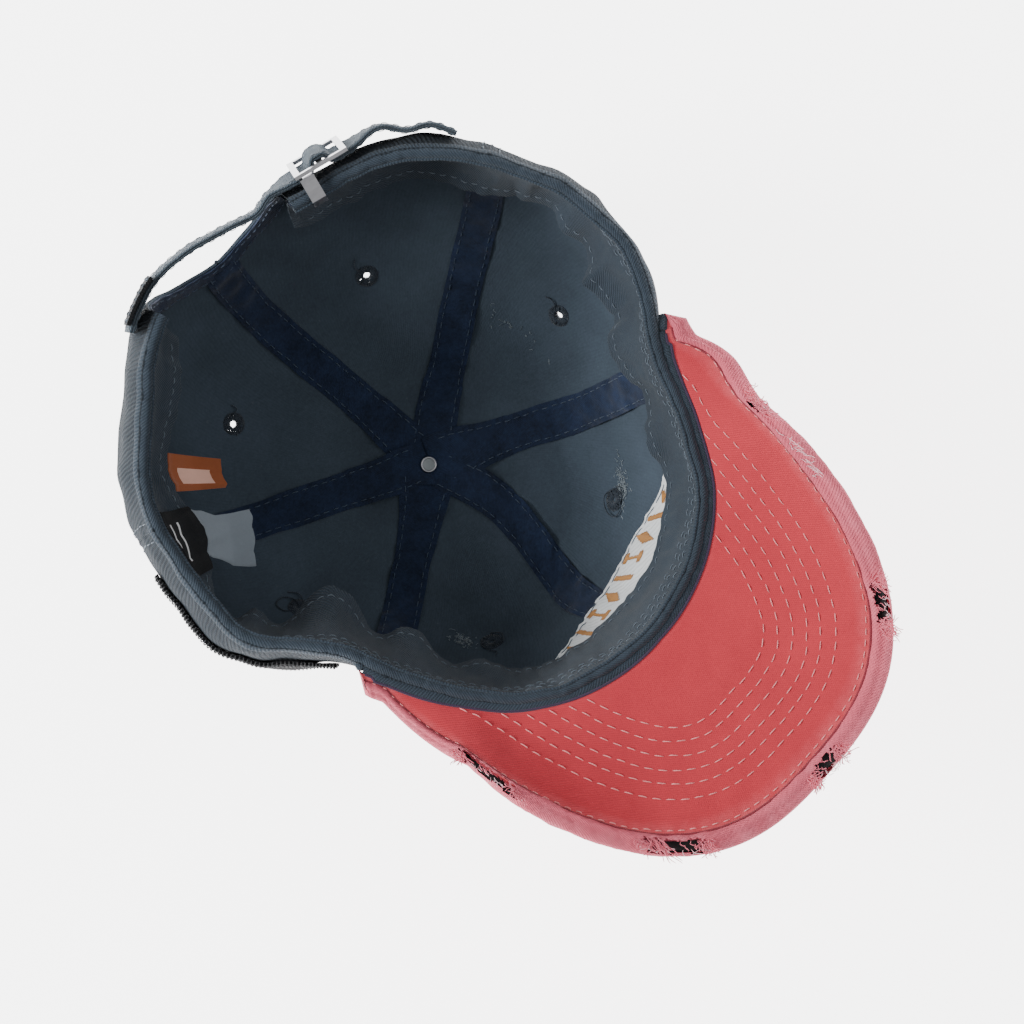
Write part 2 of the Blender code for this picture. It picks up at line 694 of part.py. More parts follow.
def brim_roll(look):
    """Cloth wrapped round the board's edge, with its upper lip torn away in places."""
    columns = brim_columns()
    stations = [(place, 0.0) for place in columns]
    for centre, half in ROLL_TEARS:
        stations += [(centre + half * step, torn)
                     for step, torn in ((-1.12, 0.0), (-0.98, 1.0), (0.98, 1.0), (1.12, 0.0))]
    sections = []
    for place, gone in sorted(stations):
        if any(abs(place - centre) < half for centre, half in ROLL_TEARS):
            gone = 1.0
        i = int(np.clip(np.searchsorted(columns, place) - 1, 0, columns.size - 2))
        weight = (place - columns[i]) / (columns[i + 1] - columns[i])
        sections.append((1 - weight) * roll_section(columns[i], gone) + weight * roll_section(columns[i + 1], gone))
    return swept_solid("brim_roll", np.array(sections), look)


def opening_binding(look):
    """Tape that follows the edge of the back opening on the inside."""
    half = arch_half_angle()
    radius = float(rim_radius(180.0))
    turns = np.linspace(-math.pi / 2 + 0.06, math.pi / 2 - 0.06, 19)
    columns_outer, columns_inner = [], []
    for turn in turns:
        ways, distances = [], []
        for width in (0.0, BINDING_WIDTH / 2, BINDING_WIDTH):
            ways.append((half + math.degrees(width / radius)) * math.sin(turn))
            distances.append((ARCH_DEPTH + width) * math.cos(turn))
        angles = 180.0 - np.array(ways)
        rises = rise_below_rim(angles, np.array(distances))
        columns_outer.append(crown_at(angles, rises, tape_depth() + 0.0002))
        columns_inner.append(crown_at(angles, rises, tape_depth() + TAPE_THICKNESS))
    return layered_solid("opening_binding", np.array(columns_outer), np.array(columns_inner), look)


def wall_frame(way, drop):
    """Place on the crown's outer face with the unit directions out of the wall and up along it."""
    angle = 180.0 - np.asarray(way, float)
    rise = rise_below_rim(angle, drop)
    step = 0.01
    up = crown_point(angle, rise + step) - crown_point(angle, rise - step)
    up = up / np.linalg.norm(up, axis=-1, keepdims=True)
    return crown_point(angle, rise), crown_normal(angle, rise), up


def strap_middle(way):
    """Middle line of the strap with its outward and upward directions."""
    way = np.asarray(way, float)
    stand = smooth_curve(STRAP_ROUTE, 1, way) * STRAP_WIDTH
    drop = smooth_curve(STRAP_ROUTE, 2, way) * STRAP_WIDTH
    per_degree = float(rim_radius(180.0 - BUCKLE_CENTRE)) * math.pi / 180
    hop = BUCKLE_PLATE + STRAP_THICKNESS + 2 * PIECE_GAP
    along = (way - BUCKLE_CENTRE) * per_degree
    inside = BUCKLE_STAND - (BUCKLE_PLATE + STRAP_THICKNESS) / 2 - PIECE_GAP
    near = np.exp(-(along / (0.62 * BUCKLE_LENGTH)) ** 6)
    stand = stand * (1 - near) + inside * near + hop * np.exp(-(along / (0.165 * BUCKLE_LENGTH)) ** 4)
    point, out, up = wall_frame(way, drop)
    return point + out * stand[..., None], out, up


def strap(look):
    ways = np.concatenate([np.linspace(-31, 19, 24), np.linspace(20.5, 32.5, 17), np.linspace(34, 53, 11)])
    middle, out, up = strap_middle(ways)
    tangent = np.gradient(middle, axis=0)
    across = np.cross(tangent, up)
    across = across / np.linalg.norm(across, axis=-1, keepdims=True)
    across = across * np.sign(np.sum(across * out, axis=-1))[:, None]
    thick, half = STRAP_THICKNESS / 2, STRAP_WIDTH / 2
    loops = [[point + side * thick + high * half, point - side * thick + high * half,
              point - side * thick - high * half, point + side * thick - high * half]
             for point, side, high in zip(middle, across, up)]
    return swept_solid("strap", np.array(loops), look)


def buckle_frame():
    """Middle of the buckle with its directions along the strap, outward and up."""
    drop = smooth_curve(STRAP_ROUTE, 2, BUCKLE_CENTRE) * STRAP_WIDTH
    point, out, up = wall_frame(np.array([BUCKLE_CENTRE]), np.array([drop]))
    along = np.cross(up[0], out[0])
    if along[0] < 0:
        along = -along
    return point[0] + out[0] * BUCKLE_STAND, along, out[0], up[0]


def buckle(look):
    """Slide buckle: a rectangular frame with a bar across its middle, standing on edge."""
    centre, along, out, up = buckle_frame()
    half_l, half_h = BUCKLE_LENGTH / 2, STRAP_WIDTH / 2 + BUCKLE_BAR + PIECE_GAP * 3
    bar = BUCKLE_BAR
    slot_h = half_h - bar
    builder = bmesh.new()
    stops_l = (-half_l, -half_l + bar, -bar / 2, bar / 2, half_l - bar, half_l)
    stops_h = (-half_h, -slot_h, slot_h, half_h)
    grid = {}
    for layer, lift in enumerate((-BUCKLE_PLATE / 2, BUCKLE_PLATE / 2)):
        for i, run in enumerate(stops_l):
            for j, rise in enumerate(stops_h):
                grid[i, j, layer] = builder.verts.new(Vector(centre + along * run + up * rise + out * lift))
    cells = {(i, j) for i in range(5) for j in range(3)} - {(1, 1), (3, 1)}
    for i, j in sorted(cells):
        for layer in (0, 1):
            builder.faces.new([grid[i, j, layer], grid[i + 1, j, layer], grid[i + 1, j + 1, layer],
                               grid[i, j + 1, layer]])
        for di, dj, a, b in ((-1, 0, (0, 0), (0, 1)), (1, 0, (1, 0), (1, 1)), (0, -1, (0, 0), (1, 0)),
                             (0, 1, (0, 1), (1, 1))):
            if (i + di, j + dj) not in cells:
                p, q = (i + a[0], j + a[1]), (i + b[0], j + b[1])
                builder.faces.new([grid[p + (0,)], grid[q + (0,)], grid[q + (1,)], grid[p + (1,)]])
    mesh = bpy.data.meshes.new("buckle")
    builder.to_mesh(mesh)
    builder.free()
    return keep("buckle", mesh, look)


def buckle_clip(look):
    """Bent metal strip from the buckle over the strap's upper edge to the inside of the rim."""
    centre, along, out, up = buckle_frame()
    start = centre - along * (BUCKLE_LENGTH / 2 - 0.0035)
    half, thick = 0.0025, CLIP_THICKNESS / 2
    rim_level = smooth_curve(STRAP_ROUTE, 2, BUCKLE_CENTRE) * STRAP_WIDTH
    inside = -(BUCKLE_STAND + tape_depth() + TAPE_THICKNESS + LAYER_GAP + BAND_THICKNESS + CLIP_REACH)
    over = rim_level + BAND_PROUD + PIECE_GAP + 0.0014
    path = (
        (-BUCKLE_PLATE / 2 - PIECE_GAP - thick, STRAP_WIDTH / 2 + PIECE_GAP + 0.0006),
        (-BUCKLE_PLATE / 2 - PIECE_GAP - thick - 0.0003, over - 0.0009),
        (-BUCKLE_PLATE / 2 - 0.0022, over), (0.5 * inside, over + 0.0003), (inside + 0.0018, over - 0.0002),
        (inside, over - 0.0018), (inside - 0.0002, over - 0.0060),
    )
    loops = []
    for i, (lift, rise) in enumerate(path):
        before, after = path[max(i - 1, 0)], path[min(i + 1, len(path) - 1)]
        way = Vector((after[0] - before[0], after[1] - before[1])).normalized()
        side = out * way.y - up * way.x
        point = start + out * lift + up * rise
        loops.append([point + side * thick + along * half, point - side * thick + along * half,
                      point - side * thick - along * half, point + side * thick - along * half])
    return swept_solid("buckle_clip", np.array(loops), look)


def hanging_label(name, near, far, look, sections=LABEL_SECTIONS):
    """Label sewn under the sweatband whose free end stands into the hollow."""
    rows = np.array(sections)
    shares = np.linspace(0, 1, len(sections))
    below = BAND_WIDTH + PIECE_GAP * 2 + rows[:, 0] * LABEL_LENGTH
    stand = tape_depth() + TAPE_THICKNESS + PIECE_GAP / 2 + rows[:, 1] * LABEL_STAND
    outer, inner = [], []
    for side in np.linspace(0, 1, 4):
        angles = (near[0] + (near[1] - near[0]) * side) * (1 - shares) + (far[0] + (far[1] - far[0]) * side) * shares
        rises = rise_below_rim(angles, below)
        outer.append(crown_at(angles, rises, stand))
        inner.append(crown_at(angles, rises, stand + LABEL_THICKNESS))
    return layered_solid(name, np.array(outer), np.array(inner), look)


def woven_label(look):
    """Label sewn on the sweatband's inner face."""
    angles = np.linspace(-123, -108, 5)
    distances = np.linspace(0.08, 0.94, 5) * BAND_WIDTH
    a, d = np.meshgrid(angles, distances, indexing="ij")
    rises = rise_below_rim(a, d)
    depth = band_depth(a, d) + BAND_THICKNESS + 1.3 * LAYER_GAP
    return layered_solid("woven_label", crown_at(a, rises, depth), crown_at(a, rises, depth + LABEL_THICKNESS), look)


def embroidery_backing(look):
    """White cloth inside the front, whose upper edge drops to the sweatband at both ends."""
    angles = np.linspace(-27, 43, 15)
    share = np.clip(np.abs(turn_between(angles, 8.0)) / 35, 0, 1)
    lowest = BACKING_DEPTH - (BACKING_DEPTH - 0.9 * BAND_WIDTH) * np.clip((share - 0.25) / 0.75, 0, 1) ** 1.3
    a = np.repeat(angles[:, None], 5, axis=1)
    d = BACKING_TOP + (lowest[:, None] - BACKING_TOP) * np.linspace(0, 1, 5)[None, :]
    rises = rise_below_rim(a, d)
    depth = tape_depth()
    return layered_solid("embroidery_backing", crown_at(a, rises, depth),
                         crown_at(a, rises, depth + BACKING_THICKNESS), look)


def side_patch(look):
    """Patch with a saw-toothed edge, sewn on the outside of the left side panel."""
    angles = np.linspace(PATCH_START, PATCH_END, 27)
    tooth = PATCH_TOOTH * (np.arange(angles.size) % 2)
    top = PATCH_DROP - tooth
    low = PATCH_DROP + PATCH_HEIGHT + tooth
    a = np.repeat(angles[:, None], 3, axis=1)
    d = top[:, None] + (low - top)[:, None] * np.linspace(0, 1, 3)[None, :]
    rises = rise_below_rim(a, d)
    inner_depth = -1.2 * LAYER_GAP
    return layered_solid("side_patch", crown_at(a, rises, inner_depth - PATCH_THICKNESS),
                         crown_at(a, rises, inner_depth), look)


def front_motif(number, middle, look):
    """One lozenge of raised stitching on the outside of the front."""
    half = math.degrees(MOTIF_HALF_WIDTH / float(rim_radius(middle)))
    a = middle + half * np.array([-1.0, -0.5, 0.0, 0.5, 1.0])[:, None] * np.ones((1, 3))
    tall = MOTIF_HALF_HEIGHT * np.array([0.12, 0.56, 1.0, 0.56, 0.12])[:, None]
    d = MOTIF_DROP + tall * np.array([-1.0, 0.0, 1.0])[None, :]
    rises = rise_below_rim(a, d)
    depth = -LAYER_GAP
    return layered_solid("front_motif_%d" % number, crown_at(a, rises, depth - MOTIF_THICKNESS),
                         crown_at(a, rises, depth), look)


def side_tab(look):
    """Small stitched tag on the outside of the strap's root."""
    ways = np.linspace(TAB_WAY, TAB_WAY + math.degrees(TAB_LENGTH / RIM_HALF_LENGTH), 5)
    middle, out, up = strap_middle(ways)
    inner = STRAP_THICKNESS / 2 + PIECE_GAP
    outer = inner + TAB_THICKNESS
    high = STRAP_WIDTH / 2 + 0.0015
    loops = [[point + side * outer + rise * high, point + side * inner + rise * high,
              point + side * inner + rise * (high - TAB_WIDTH), point + side * outer + rise * (high - TAB_WIDTH)]
             for point, side, rise in zip(middle, out, up)]
    return swept_solid("side_tab", np.array(loops), look)


def stand_on_origin(pieces, helpers):
    """Hold everything by one empty, with the middle of its base box at the origin."""
    points = np.array([vertex.co[:] for piece in pieces for vertex in piece.data.vertices])
    low, high = points.min(axis=0), points.max(axis=0)
    holder = bpy.data.objects.new("cap_holder", None)
    bpy.context.collection.objects.link(holder)
    holder.location = (-(low[0] + high[0]) / 2, -(low[1] + high[1]) / 2, -low[2])
    for item in pieces + helpers:
        item.parent = holder


def main():
    clear_scene()
    slate, navy = material("slate_twill", SLATE), material("navy_tape", NAVY)
    coral, pink = material("coral_twill", CORAL), material("pink_edge", PINK)
    black, white = material("black_board", BLACK), material("white_backing", WHITE)
    gold, brown, grey = material("gold_thread", GOLD), material("brown_label", BROWN), material("grey_label", GREY)
    steel = material("steel", STEEL, roughness=0.3, metallic=1.0)
    dark = material("dark_patch", BLACK)

    pieces, helpers = [], []
    panels = (
        ("panel_front_right", 0, 60, None), ("panel_side_right", 60, 120, None), ("panel_back_right", 120, 180, 180),
        ("panel_front_left", -60, 0, None), ("panel_side_left", -120, -60, None),
        ("panel_back_left", -180, -120, -180),
    )
    for name, start, end, opens_at in panels:
        made = panel(name, start, end, slate, opens_at)
        pieces.append(made)
        middle = (start + end) / 2
        place = name.replace("panel_", "")
        helpers.append(eyelet_hole("hole_" + place, middle, made))
        pieces.append(eyelet("eyelet_" + place, middle, navy))
    pieces.append(sweatband(slate))
    tapes = (
        ("tape_front", 0, BACKING_DEPTH + LAYER_GAP), ("tape_front_right", 60, TAPE_END),
        ("tape_back_right", 120, TAPE_END), ("tape_back", 180, ARCH_DEPTH + BINDING_WIDTH + LAYER_GAP),
        ("tape_back_left", -120, TAPE_END), ("tape_front_left", -60, TAPE_END),
    )
    for name, angle, end in tapes:
        pieces.append(tape(name, angle, end, navy))
    pieces.append(button(slate))
    pieces.append(rivet(steel))
    board = BOARD_THICKNESS / 2
    cover = board + LAYER_GAP
    pieces.append(brim_layer("brim_under", cover, cover + COVER_THICKNESS, coral))
    pieces.append(brim_layer("brim_board", -board, board, black, into_roll=1.0))
    pieces.append(brim_layer("brim_top", -cover - COVER_THICKNESS, -cover, coral))
    pieces.append(brim_roll(pink))
    pieces.append(opening_binding(navy))
    pieces.append(strap(slate))
    pieces.append(buckle(steel))
    pieces.append(buckle_clip(steel))
    pieces.append(side_tab(black))
    pieces.append(hanging_label("size_label", (-138, -129), (-138, -129), brown))
    pieces.append(hanging_label("care_label", (-122, -111), (-116, -104), grey))
    pieces.append(woven_label(black))
    pieces.append(embroidery_backing(white))
    pieces.append(side_patch(dark))
    for number, middle in enumerate(MOTIF_ROW, start=1):
        pieces.append(front_motif(number, middle, gold))
    stand_on_origin(pieces, helpers)


main()
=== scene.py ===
"""Looks of the washed cotton cap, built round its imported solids.

Metres, +Z up. Places on the crown are an angle from the front, positive towards +X, and a rise,
which is 0 at the button and 1 at the rim. A depth runs from the outer face into the hollow.
"""
import math

import bmesh
import bpy
import numpy as np
from mathutils import Matrix, Vector, kdtree


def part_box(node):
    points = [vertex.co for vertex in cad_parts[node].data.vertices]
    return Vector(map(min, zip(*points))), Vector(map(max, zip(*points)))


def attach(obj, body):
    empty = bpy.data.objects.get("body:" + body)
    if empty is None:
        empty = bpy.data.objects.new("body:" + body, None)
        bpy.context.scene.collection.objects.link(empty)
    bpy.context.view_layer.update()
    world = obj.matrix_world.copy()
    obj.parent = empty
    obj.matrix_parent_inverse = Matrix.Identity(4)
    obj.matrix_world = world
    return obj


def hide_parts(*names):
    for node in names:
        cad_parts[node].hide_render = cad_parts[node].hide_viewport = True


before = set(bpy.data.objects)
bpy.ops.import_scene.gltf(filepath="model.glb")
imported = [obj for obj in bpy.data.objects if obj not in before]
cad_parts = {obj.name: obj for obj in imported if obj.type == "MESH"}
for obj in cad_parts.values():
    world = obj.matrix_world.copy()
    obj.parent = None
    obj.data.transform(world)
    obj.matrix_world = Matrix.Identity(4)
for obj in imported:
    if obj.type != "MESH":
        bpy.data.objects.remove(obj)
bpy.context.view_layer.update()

CROWN_HEIGHT = 0.098
RIM_HALF_LENGTH = 0.0965
RIM_HALF_WIDTH = 0.092
CROWN_LEAN_X = 0.0090
CROWN_LEAN_Y = 0.0005
WALL = 0.0014
LAYER_GAP = 0.0006
SEAM_DIP = 0.008
ARCH_HALF_WIDTH = 0.028
ARCH_DEPTH = 0.050
BINDING_WIDTH = 0.0075
BAND_WIDTH = 0.036
BAND_THICKNESS = 0.0012
TAPE_WIDTH = 0.014
TAPE_THICKNESS = 0.0006
EYELET_DISTANCE = 0.075
BRIM_HALF_WIDTH = 0.0765
BRIM_REACH = 0.1345
BRIM_ROOT_Y = -0.034
BRIM_CENTRE_X = 0.0115
BRIM_SQUARENESS = 2.65
BRIM_SPREAD = 66.0
BRIM_END_WIDTH = 0.008
BRIM_SIDE_RISE = 0.026
BRIM_TIP_RISE = 0.012
BRIM_SEAT = 0.0034
COVER = 0.0010
BOARD = 0.0016
ROLL_WIDTH = 0.0070
STRAP_WIDTH = 0.019
STRAP_THICKNESS = 0.0018
BUCKLE_LENGTH = 0.0195
BUCKLE_PLATE = 0.0012
BUCKLE_CENTRE = 26.5
BUCKLE_STAND = 0.0042
PIECE_GAP = 0.0004
BACKING_DEPTH = 0.057
BAND_DEPTH_FOLD = 0.0019
BAND_DEPTH_FINE = 0.00022
MOUND_HEIGHT = 0.0045
MOUND_RADIUS = 0.008
MOUND_SLOPE = 0.024
PUCKER_HEIGHT = 0.00028
PUCKER_REACH = 0.010
RIM_WAVE_HEIGHT = 0.0006
RIM_WAVE_REACH = 0.030
BRIM_BULGE = 0.0055
BRIM_BULGE_PLACE = 0.90
BRIM_BULGE_SPREAD = 0.07
BRIM_STEPS = 400
EYE = (0.0072, -0.035, 0.698)

# Metres of cloth for a radian round the crown, for the way from button to rim, and for half the brim
CLOTH_TURN = 0.093
CLOTH_RISE = 0.15
CLOTH_BRIM = 0.15

# Length and space of the stitches
SMALL_STITCH = (0.0026, 0.0012)
BAND_STITCH = (0.0027, 0.0011)
BRIM_STITCH = (0.0033, 0.0013)
CROWN_STITCH = (0.0028, 0.0011)
FOLD_STITCH = (0.0024, 0.0010)
TAB_STITCH = (0.0016, 0.0008)

# Angle from the front and share of the oval, then folds: angle, spread and push
RIM_OUTLINE = np.array([(0, 1.020), (15, 1.005), (30, 0.970), (45, 0.905), (62, 0.868), (75, 0.895),
                        (90, 0.970), (105, 1.000), (120, 1.010), (135, 1.004), (150, 0.988), (165, 0.976),
                        (180, 0.974)])
RIM_FOLDS = ((-74, 10, -0.040), (-95, 6, 0.018), (-125, 13, 0.036), (-160, 12, 0.050), (80, 13, 0.028),
             (160, 15, -0.048))
# Rise, then reach and height at the front, the side and the back
CROWN_SECTIONS = np.array((
    (0.000, 0.020, 0.046, 0.020, 0.046, 0.020, 0.046), (0.045, 0.085, 0.041, 0.085, 0.041, 0.085, 0.041),
    (0.085, 0.132, 0.006, 0.132, 0.006, 0.132, 0.006), (0.105, 0.158, 0.000, 0.158, 0.000, 0.158, 0.000),
    (0.210, 0.370, 0.000, 0.390, 0.000, 0.390, 0.000), (0.320, 0.570, 0.000, 0.590, 0.000, 0.590, 0.000),
    (0.385, 0.665, 0.035, 0.715, 0.028, 0.730, 0.028), (0.465, 0.755, 0.125, 0.840, 0.108, 0.870, 0.110),
    (0.545, 0.825, 0.250, 0.930, 0.220, 0.970, 0.225), (0.635, 0.885, 0.410, 1.000, 0.370, 1.050, 0.375),
    (0.740, 0.932, 0.575, 1.050, 0.550, 1.100, 0.555), (0.840, 0.965, 0.718, 1.070, 0.720, 1.112, 0.725),
    (0.920, 0.985, 0.820, 1.050, 0.870, 1.080, 0.865), (1.000, 1.000, 0.900, 1.000, 1.000, 1.000, 0.980)))
# Angle, rise, spread, span and push
WALL_DENTS = ((-62, 0.86, 9, 0.10, -0.030), (-100, 0.72, 12, 0.08, 0.015), (58, 0.88, 10, 0.10, -0.018),
              (92, 0.66, 10, 0.07, -0.016), (-140, 0.60, 14, 0.06, -0.014), (130, 0.62, 16, 0.06, 0.012),
              (20, 0.62, 12, 0.08, -0.014), (-24, 0.58, 12, 0.07, 0.012))
# Angle, spread and how far the sweatband stands off
BAND_GATHERS = ((-75, 8, 0.56), (-56, 8, 0.34), (-91, 6, 0.30), (-38, 8, 0.16), (84, 8, 0.40), (67, 7, 0.28),
                (98, 5, 0.14), (46, 8, 0.10), (-150, 22, 0.34), (-118, 13, 0.40), (150, 20, 0.20),
                (120, 14, 0.20))
# Angle from the back, stand off the wall and drop below the rim, both in millimetres
STRAP_ROUTE = np.array(((-31, 1.4, 11.0), (-24, 1.4, 11.0), (-18, 1.9, 11.0), (-11, 3.4, 10.5),
                        (-4, 2.4, 10.5), (4, -0.6, 10.5), (10, -2.2, 11.0), (15, 1.3, 11.0), (20, 2.2, 11.0),
                        (34, 3.2, 11.5), (39, 4.8, 12.0), (44, 2.2, 12.5), (48, 3.6, 13.0), (53, 1.4, 13.0)))
# Soft creases: height, length, two shifts and a seed
SOFT_CREASES = ((0.0009, 0.019, 9, 5, 11), (0.00045, 0.009, 3, 8, 12))
BRIM_CREASES = ((0.00035, 0.016, 3, 40, 51), (0.00012, 0.005, 3, 60, 52))
# Place along the brim and half length of the worn windows
ROLL_TEARS = ((-0.700, 0.055), (-0.330, 0.060), (0.010, 0.035), (0.345, 0.040), (0.765, 0.014))

rivet_low, rivet_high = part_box("rivet")
SHIFT = np.array([(rivet_low[0] + rivet_high[0]) / 2, (rivet_low[1] + rivet_high[1]) / 2, 0.0])
rng = np.random.default_rng(7)


# Shape functions, as in the solids

def smooth_curve(table, column, place, level_ends=False):
    xs, ys = table[:, 0], table[:, column]
    steps = np.diff(xs)
    grades = np.diff(ys) / steps
    slopes = np.zeros(len(xs))
    for i in range(1, len(xs) - 1):
        if grades[i - 1] * grades[i] > 0:
            slopes[i] = 2 * grades[i - 1] * grades[i] / (grades[i - 1] + grades[i])
    if not level_ends:
        slopes[0], slopes[-1] = grades[0], grades[-1]
    place = np.asarray(place, dtype=float)
    i = np.clip(np.searchsorted(xs, place) - 1, 0, len(xs) - 2)
    s = (place - xs[i]) / steps[i]
    start = (1 + 2 * s) * (1 - s) ** 2 * ys[i] + s * (1 - s) ** 2 * steps[i] * slopes[i]
    end = s * s * (3 - 2 * s) * ys[i + 1] + s * s * (s - 1) * steps[i] * slopes[i + 1]
    return start + end


def turn_between(angle, centre):
    return (angle - centre + 180.0) % 360.0 - 180.0


def rim_radius(angle):
    a = np.radians(angle)
    oval = 1 / np.sqrt((np.sin(a) / RIM_HALF_WIDTH) ** 2 + (np.cos(a) / RIM_HALF_LENGTH) ** 2)
    radius = oval * smooth_curve(RIM_OUTLINE, 1, np.abs(turn_between(angle, 0.0)), level_ends=True)
    for centre, spread, push in RIM_FOLDS:
        radius = radius + push * RIM_HALF_WIDTH * np.exp(-(turn_between(angle, centre) / spread) ** 2)
    return radius


def crown_point(angle, rise):
    angle, rise = np.broadcast_arrays(np.asarray(angle, float), np.asarray(rise, float))
    a = np.radians(angle)
    front = np.clip(np.cos(a), 0, 1) ** 1.5
    back = np.clip(-np.cos(a), 0, 1) ** 0.8
    side = 1 - front - back
    reach, height = 0, 0
    for share, column in ((front, 1), (side, 3), (back, 5)):
        reach = reach + share * smooth_curve(CROWN_SECTIONS, column, rise)
        height = height + share * smooth_curve(CROWN_SECTIONS, column + 1, rise)
    valley = SEAM_DIP * (1 - np.abs(np.sin(3 * a))) ** 2 * np.clip((rise - 0.3) / 0.3, 0, 1)
    radius = rim_radius(angle) * reach * (1 - valley)
    for centre, level, spread, span, push in WALL_DENTS:
        near = (turn_between(angle, centre) / spread) ** 2 + ((rise - level) / span) ** 2
        radius = radius + push * RIM_HALF_WIDTH * np.exp(-near)
    x = CROWN_LEAN_X * height + radius * np.sin(a)
    y = CROWN_LEAN_Y * height - radius * np.cos(a)
    level = height * CROWN_HEIGHT
    slope = np.clip((radius - MOUND_RADIUS) / MOUND_SLOPE, 0, 1)
    mound = MOUND_HEIGHT * (1 - slope * slope * (3 - 2 * slope))
    return np.stack([x, y, np.where(rise < 0.4, np.maximum(level, mound), level)], axis=-1)


def unit(v):
    return v / np.maximum(np.linalg.norm(v, axis=-1, keepdims=True), 1e-12)


def crown_normal(angle, rise):
    turn, step = 0.6, 0.004
    along = crown_point(angle + turn, rise) - crown_point(angle - turn, rise)
    up = crown_point(angle, rise + step) - crown_point(angle, np.maximum(rise - step, 0.0))
    return unit(np.cross(along, up))


def lattice(x, y, seed):
    """Smooth noise from -1 to 1 on a grid of unit cells."""
    table = np.random.default_rng(seed).uniform(-1, 1, (64, 64))
    xi, yi = np.floor(x).astype(int), np.floor(y).astype(int)
    fx, fy = x - xi, y - yi
    fx, fy = fx * fx * (3 - 2 * fx), fy * fy * (3 - 2 * fy)
    a, b = table[xi % 64, yi % 64], table[(xi + 1) % 64, yi % 64]
    c, d = table[xi % 64, (yi + 1) % 64], table[(xi + 1) % 64, (yi + 1) % 64]
    return (a * (1 - fx) + b * fx) * (1 - fy) + (c * (1 - fx) + d * fx) * fy


def walked_along(points):
    """Distance walked along a line of points."""
    return np.concatenate([[0.0], np.cumsum(np.linalg.norm(np.diff(points, axis=0), axis=1))])


TABLE_STEP = 0.0005
TABLE_ANGLES = np.arange(-180, 181, 1.0)
TABLE_STEPS = np.arange(-0.003, 0.1301, TABLE_STEP)


def below_table():
    """Rises at even steps below the rim, for every whole angle."""
    rises = np.linspace(1.0, 0.02, 197)
    rows = []
    for a in TABLE_ANGLES:
        points = crown_point(np.full(rises.size, a), rises)
        walked = walked_along(points)
        first = np.interp(TABLE_STEPS, walked, rises)
        over = TABLE_STEPS < 0
        first[over] = 1.0 - TABLE_STEPS[over] / walked[1] * (rises[0] - rises[1])
        rows.append(first)
    return np.array(rows)


BELOW = below_table()


def below_rim(angle, distance):
    """Rise of the place a distance below the rim along the cloth."""
    angle, distance = np.broadcast_arrays(np.asarray(angle, float), np.asarray(distance, float))
    fa = np.clip(turn_between(angle, 0.0) + 180.0, 0, TABLE_ANGLES.size - 1.001)
    fd = np.clip((distance - TABLE_STEPS[0]) / TABLE_STEP, 0, TABLE_STEPS.size - 1.001)
    i, j = fa.astype(int), fd.astype(int)
    u, v = fa - i, fd - j
    return ((BELOW[i, j] * (1 - u) + BELOW[i + 1, j] * u) * (1 - v)
            + (BELOW[i, j + 1] * (1 - u) + BELOW[i + 1, j + 1] * u) * v)


def from_button(angle, distance):
    """Rise of the place a distance from the button along the cloth."""
    rises = np.linspace(0.0, 0.95, 191)
    points = crown_point(np.full(rises.size, float(angle)), rises)
    return np.interp(distance, walked_along(points), rises)


SEAMS = (0, 60, 120, 180, -120, -60)


def creases(table, x, y):
    total = 0
    for height, length, shift_x, shift_y, seed in table:
        total = total + height * lattice(x / length + shift_x, y / length + shift_y, seed)
    return total


def ripple(angle, rise):
    """Extra depth of every crown layer: soft creases, and puckers beside the tapes and the rim."""
    a = np.radians(angle)
    rho = rise * CLOTH_RISE
    fade = np.clip((rise - 0.33) / 0.12, 0, 1)
    total = creases(SOFT_CREASES, rho * np.sin(a), rho * np.cos(a)) * (0.25 + 0.75 * fade)
    for i, seam in enumerate(SEAMS):
        off = np.radians(turn_between(angle, seam)) * np.maximum(rho, 0.002)
        near = np.exp(-(off / PUCKER_REACH) ** 2)
        total = total + PUCKER_HEIGHT * near * lattice(rho / 0.0042 + i * 7, off / 0.012 + 20, 13 + i)
    near_rim = np.exp(-((1.0 - rise) * CLOTH_RISE / RIM_WAVE_REACH) ** 2)
    total = total + RIM_WAVE_HEIGHT * near_rim * lattice(angle / 5.5, rho / 0.02, 31)
    return total * np.clip((1.03 - rise) / 0.06, 0.25, 1)


def matched(*values):
    return np.broadcast_arrays(*[np.asarray(value, float) for value in values])


def crown_at(angle, rise, depth):
    """Points in the crown's cloth, at a depth from its outer face."""
    angle, rise, depth = matched(angle, rise, depth)
    moved = depth + ripple(angle, rise)
    return crown_point(angle, rise) - crown_normal(angle, rise) * moved[..., None]


def arch_half_angle():
    """Half of the back opening's angle at the rim."""
    return math.degrees(ARCH_HALF_WIDTH / float(rim_radius(180.0)))


def arch_drop(way):
    share = np.clip(np.abs(np.asarray(way, float)) / arch_half_angle(), 0, 1)
    return ARCH_DEPTH * np.sqrt(1 - share ** 2)


TAPE_DEPTH = WALL + LAYER_GAP


def band_depth(angle, distance):
    """Depth of the sweatband's outer face: gathers, folds and fine waves grow towards its free edge."""
    base = TAPE_DEPTH + TAPE_THICKNESS + LAYER_GAP
    share = np.clip(distance / BAND_WIDTH, 0, 1)
    stand = 0.02
    for centre, spread, push in BAND_GATHERS:
        stand = stand + push * np.exp(-(turn_between(angle, centre) / spread) ** 2)
    tight = np.exp(-((turn_between(angle, 0.0)) / 30.0) ** 2)
    fold = 0.75 * lattice(angle / 5.0, distance / 0.030 + 4, 41)
    fold = fold + 0.45 * lattice(angle / 2.3, distance / 0.012, 42)
    fine = lattice(angle / 1.6, distance / 0.008 + 3, 43)
    push = BAND_DEPTH_FOLD * np.abs(fold) * share ** 0.8 * (1 - 0.55 * tight)
    push = push + BAND_DEPTH_FINE * fine * (0.5 + 0.5 * share)
    return base + stand * BAND_WIDTH * share ** 1.5 + push


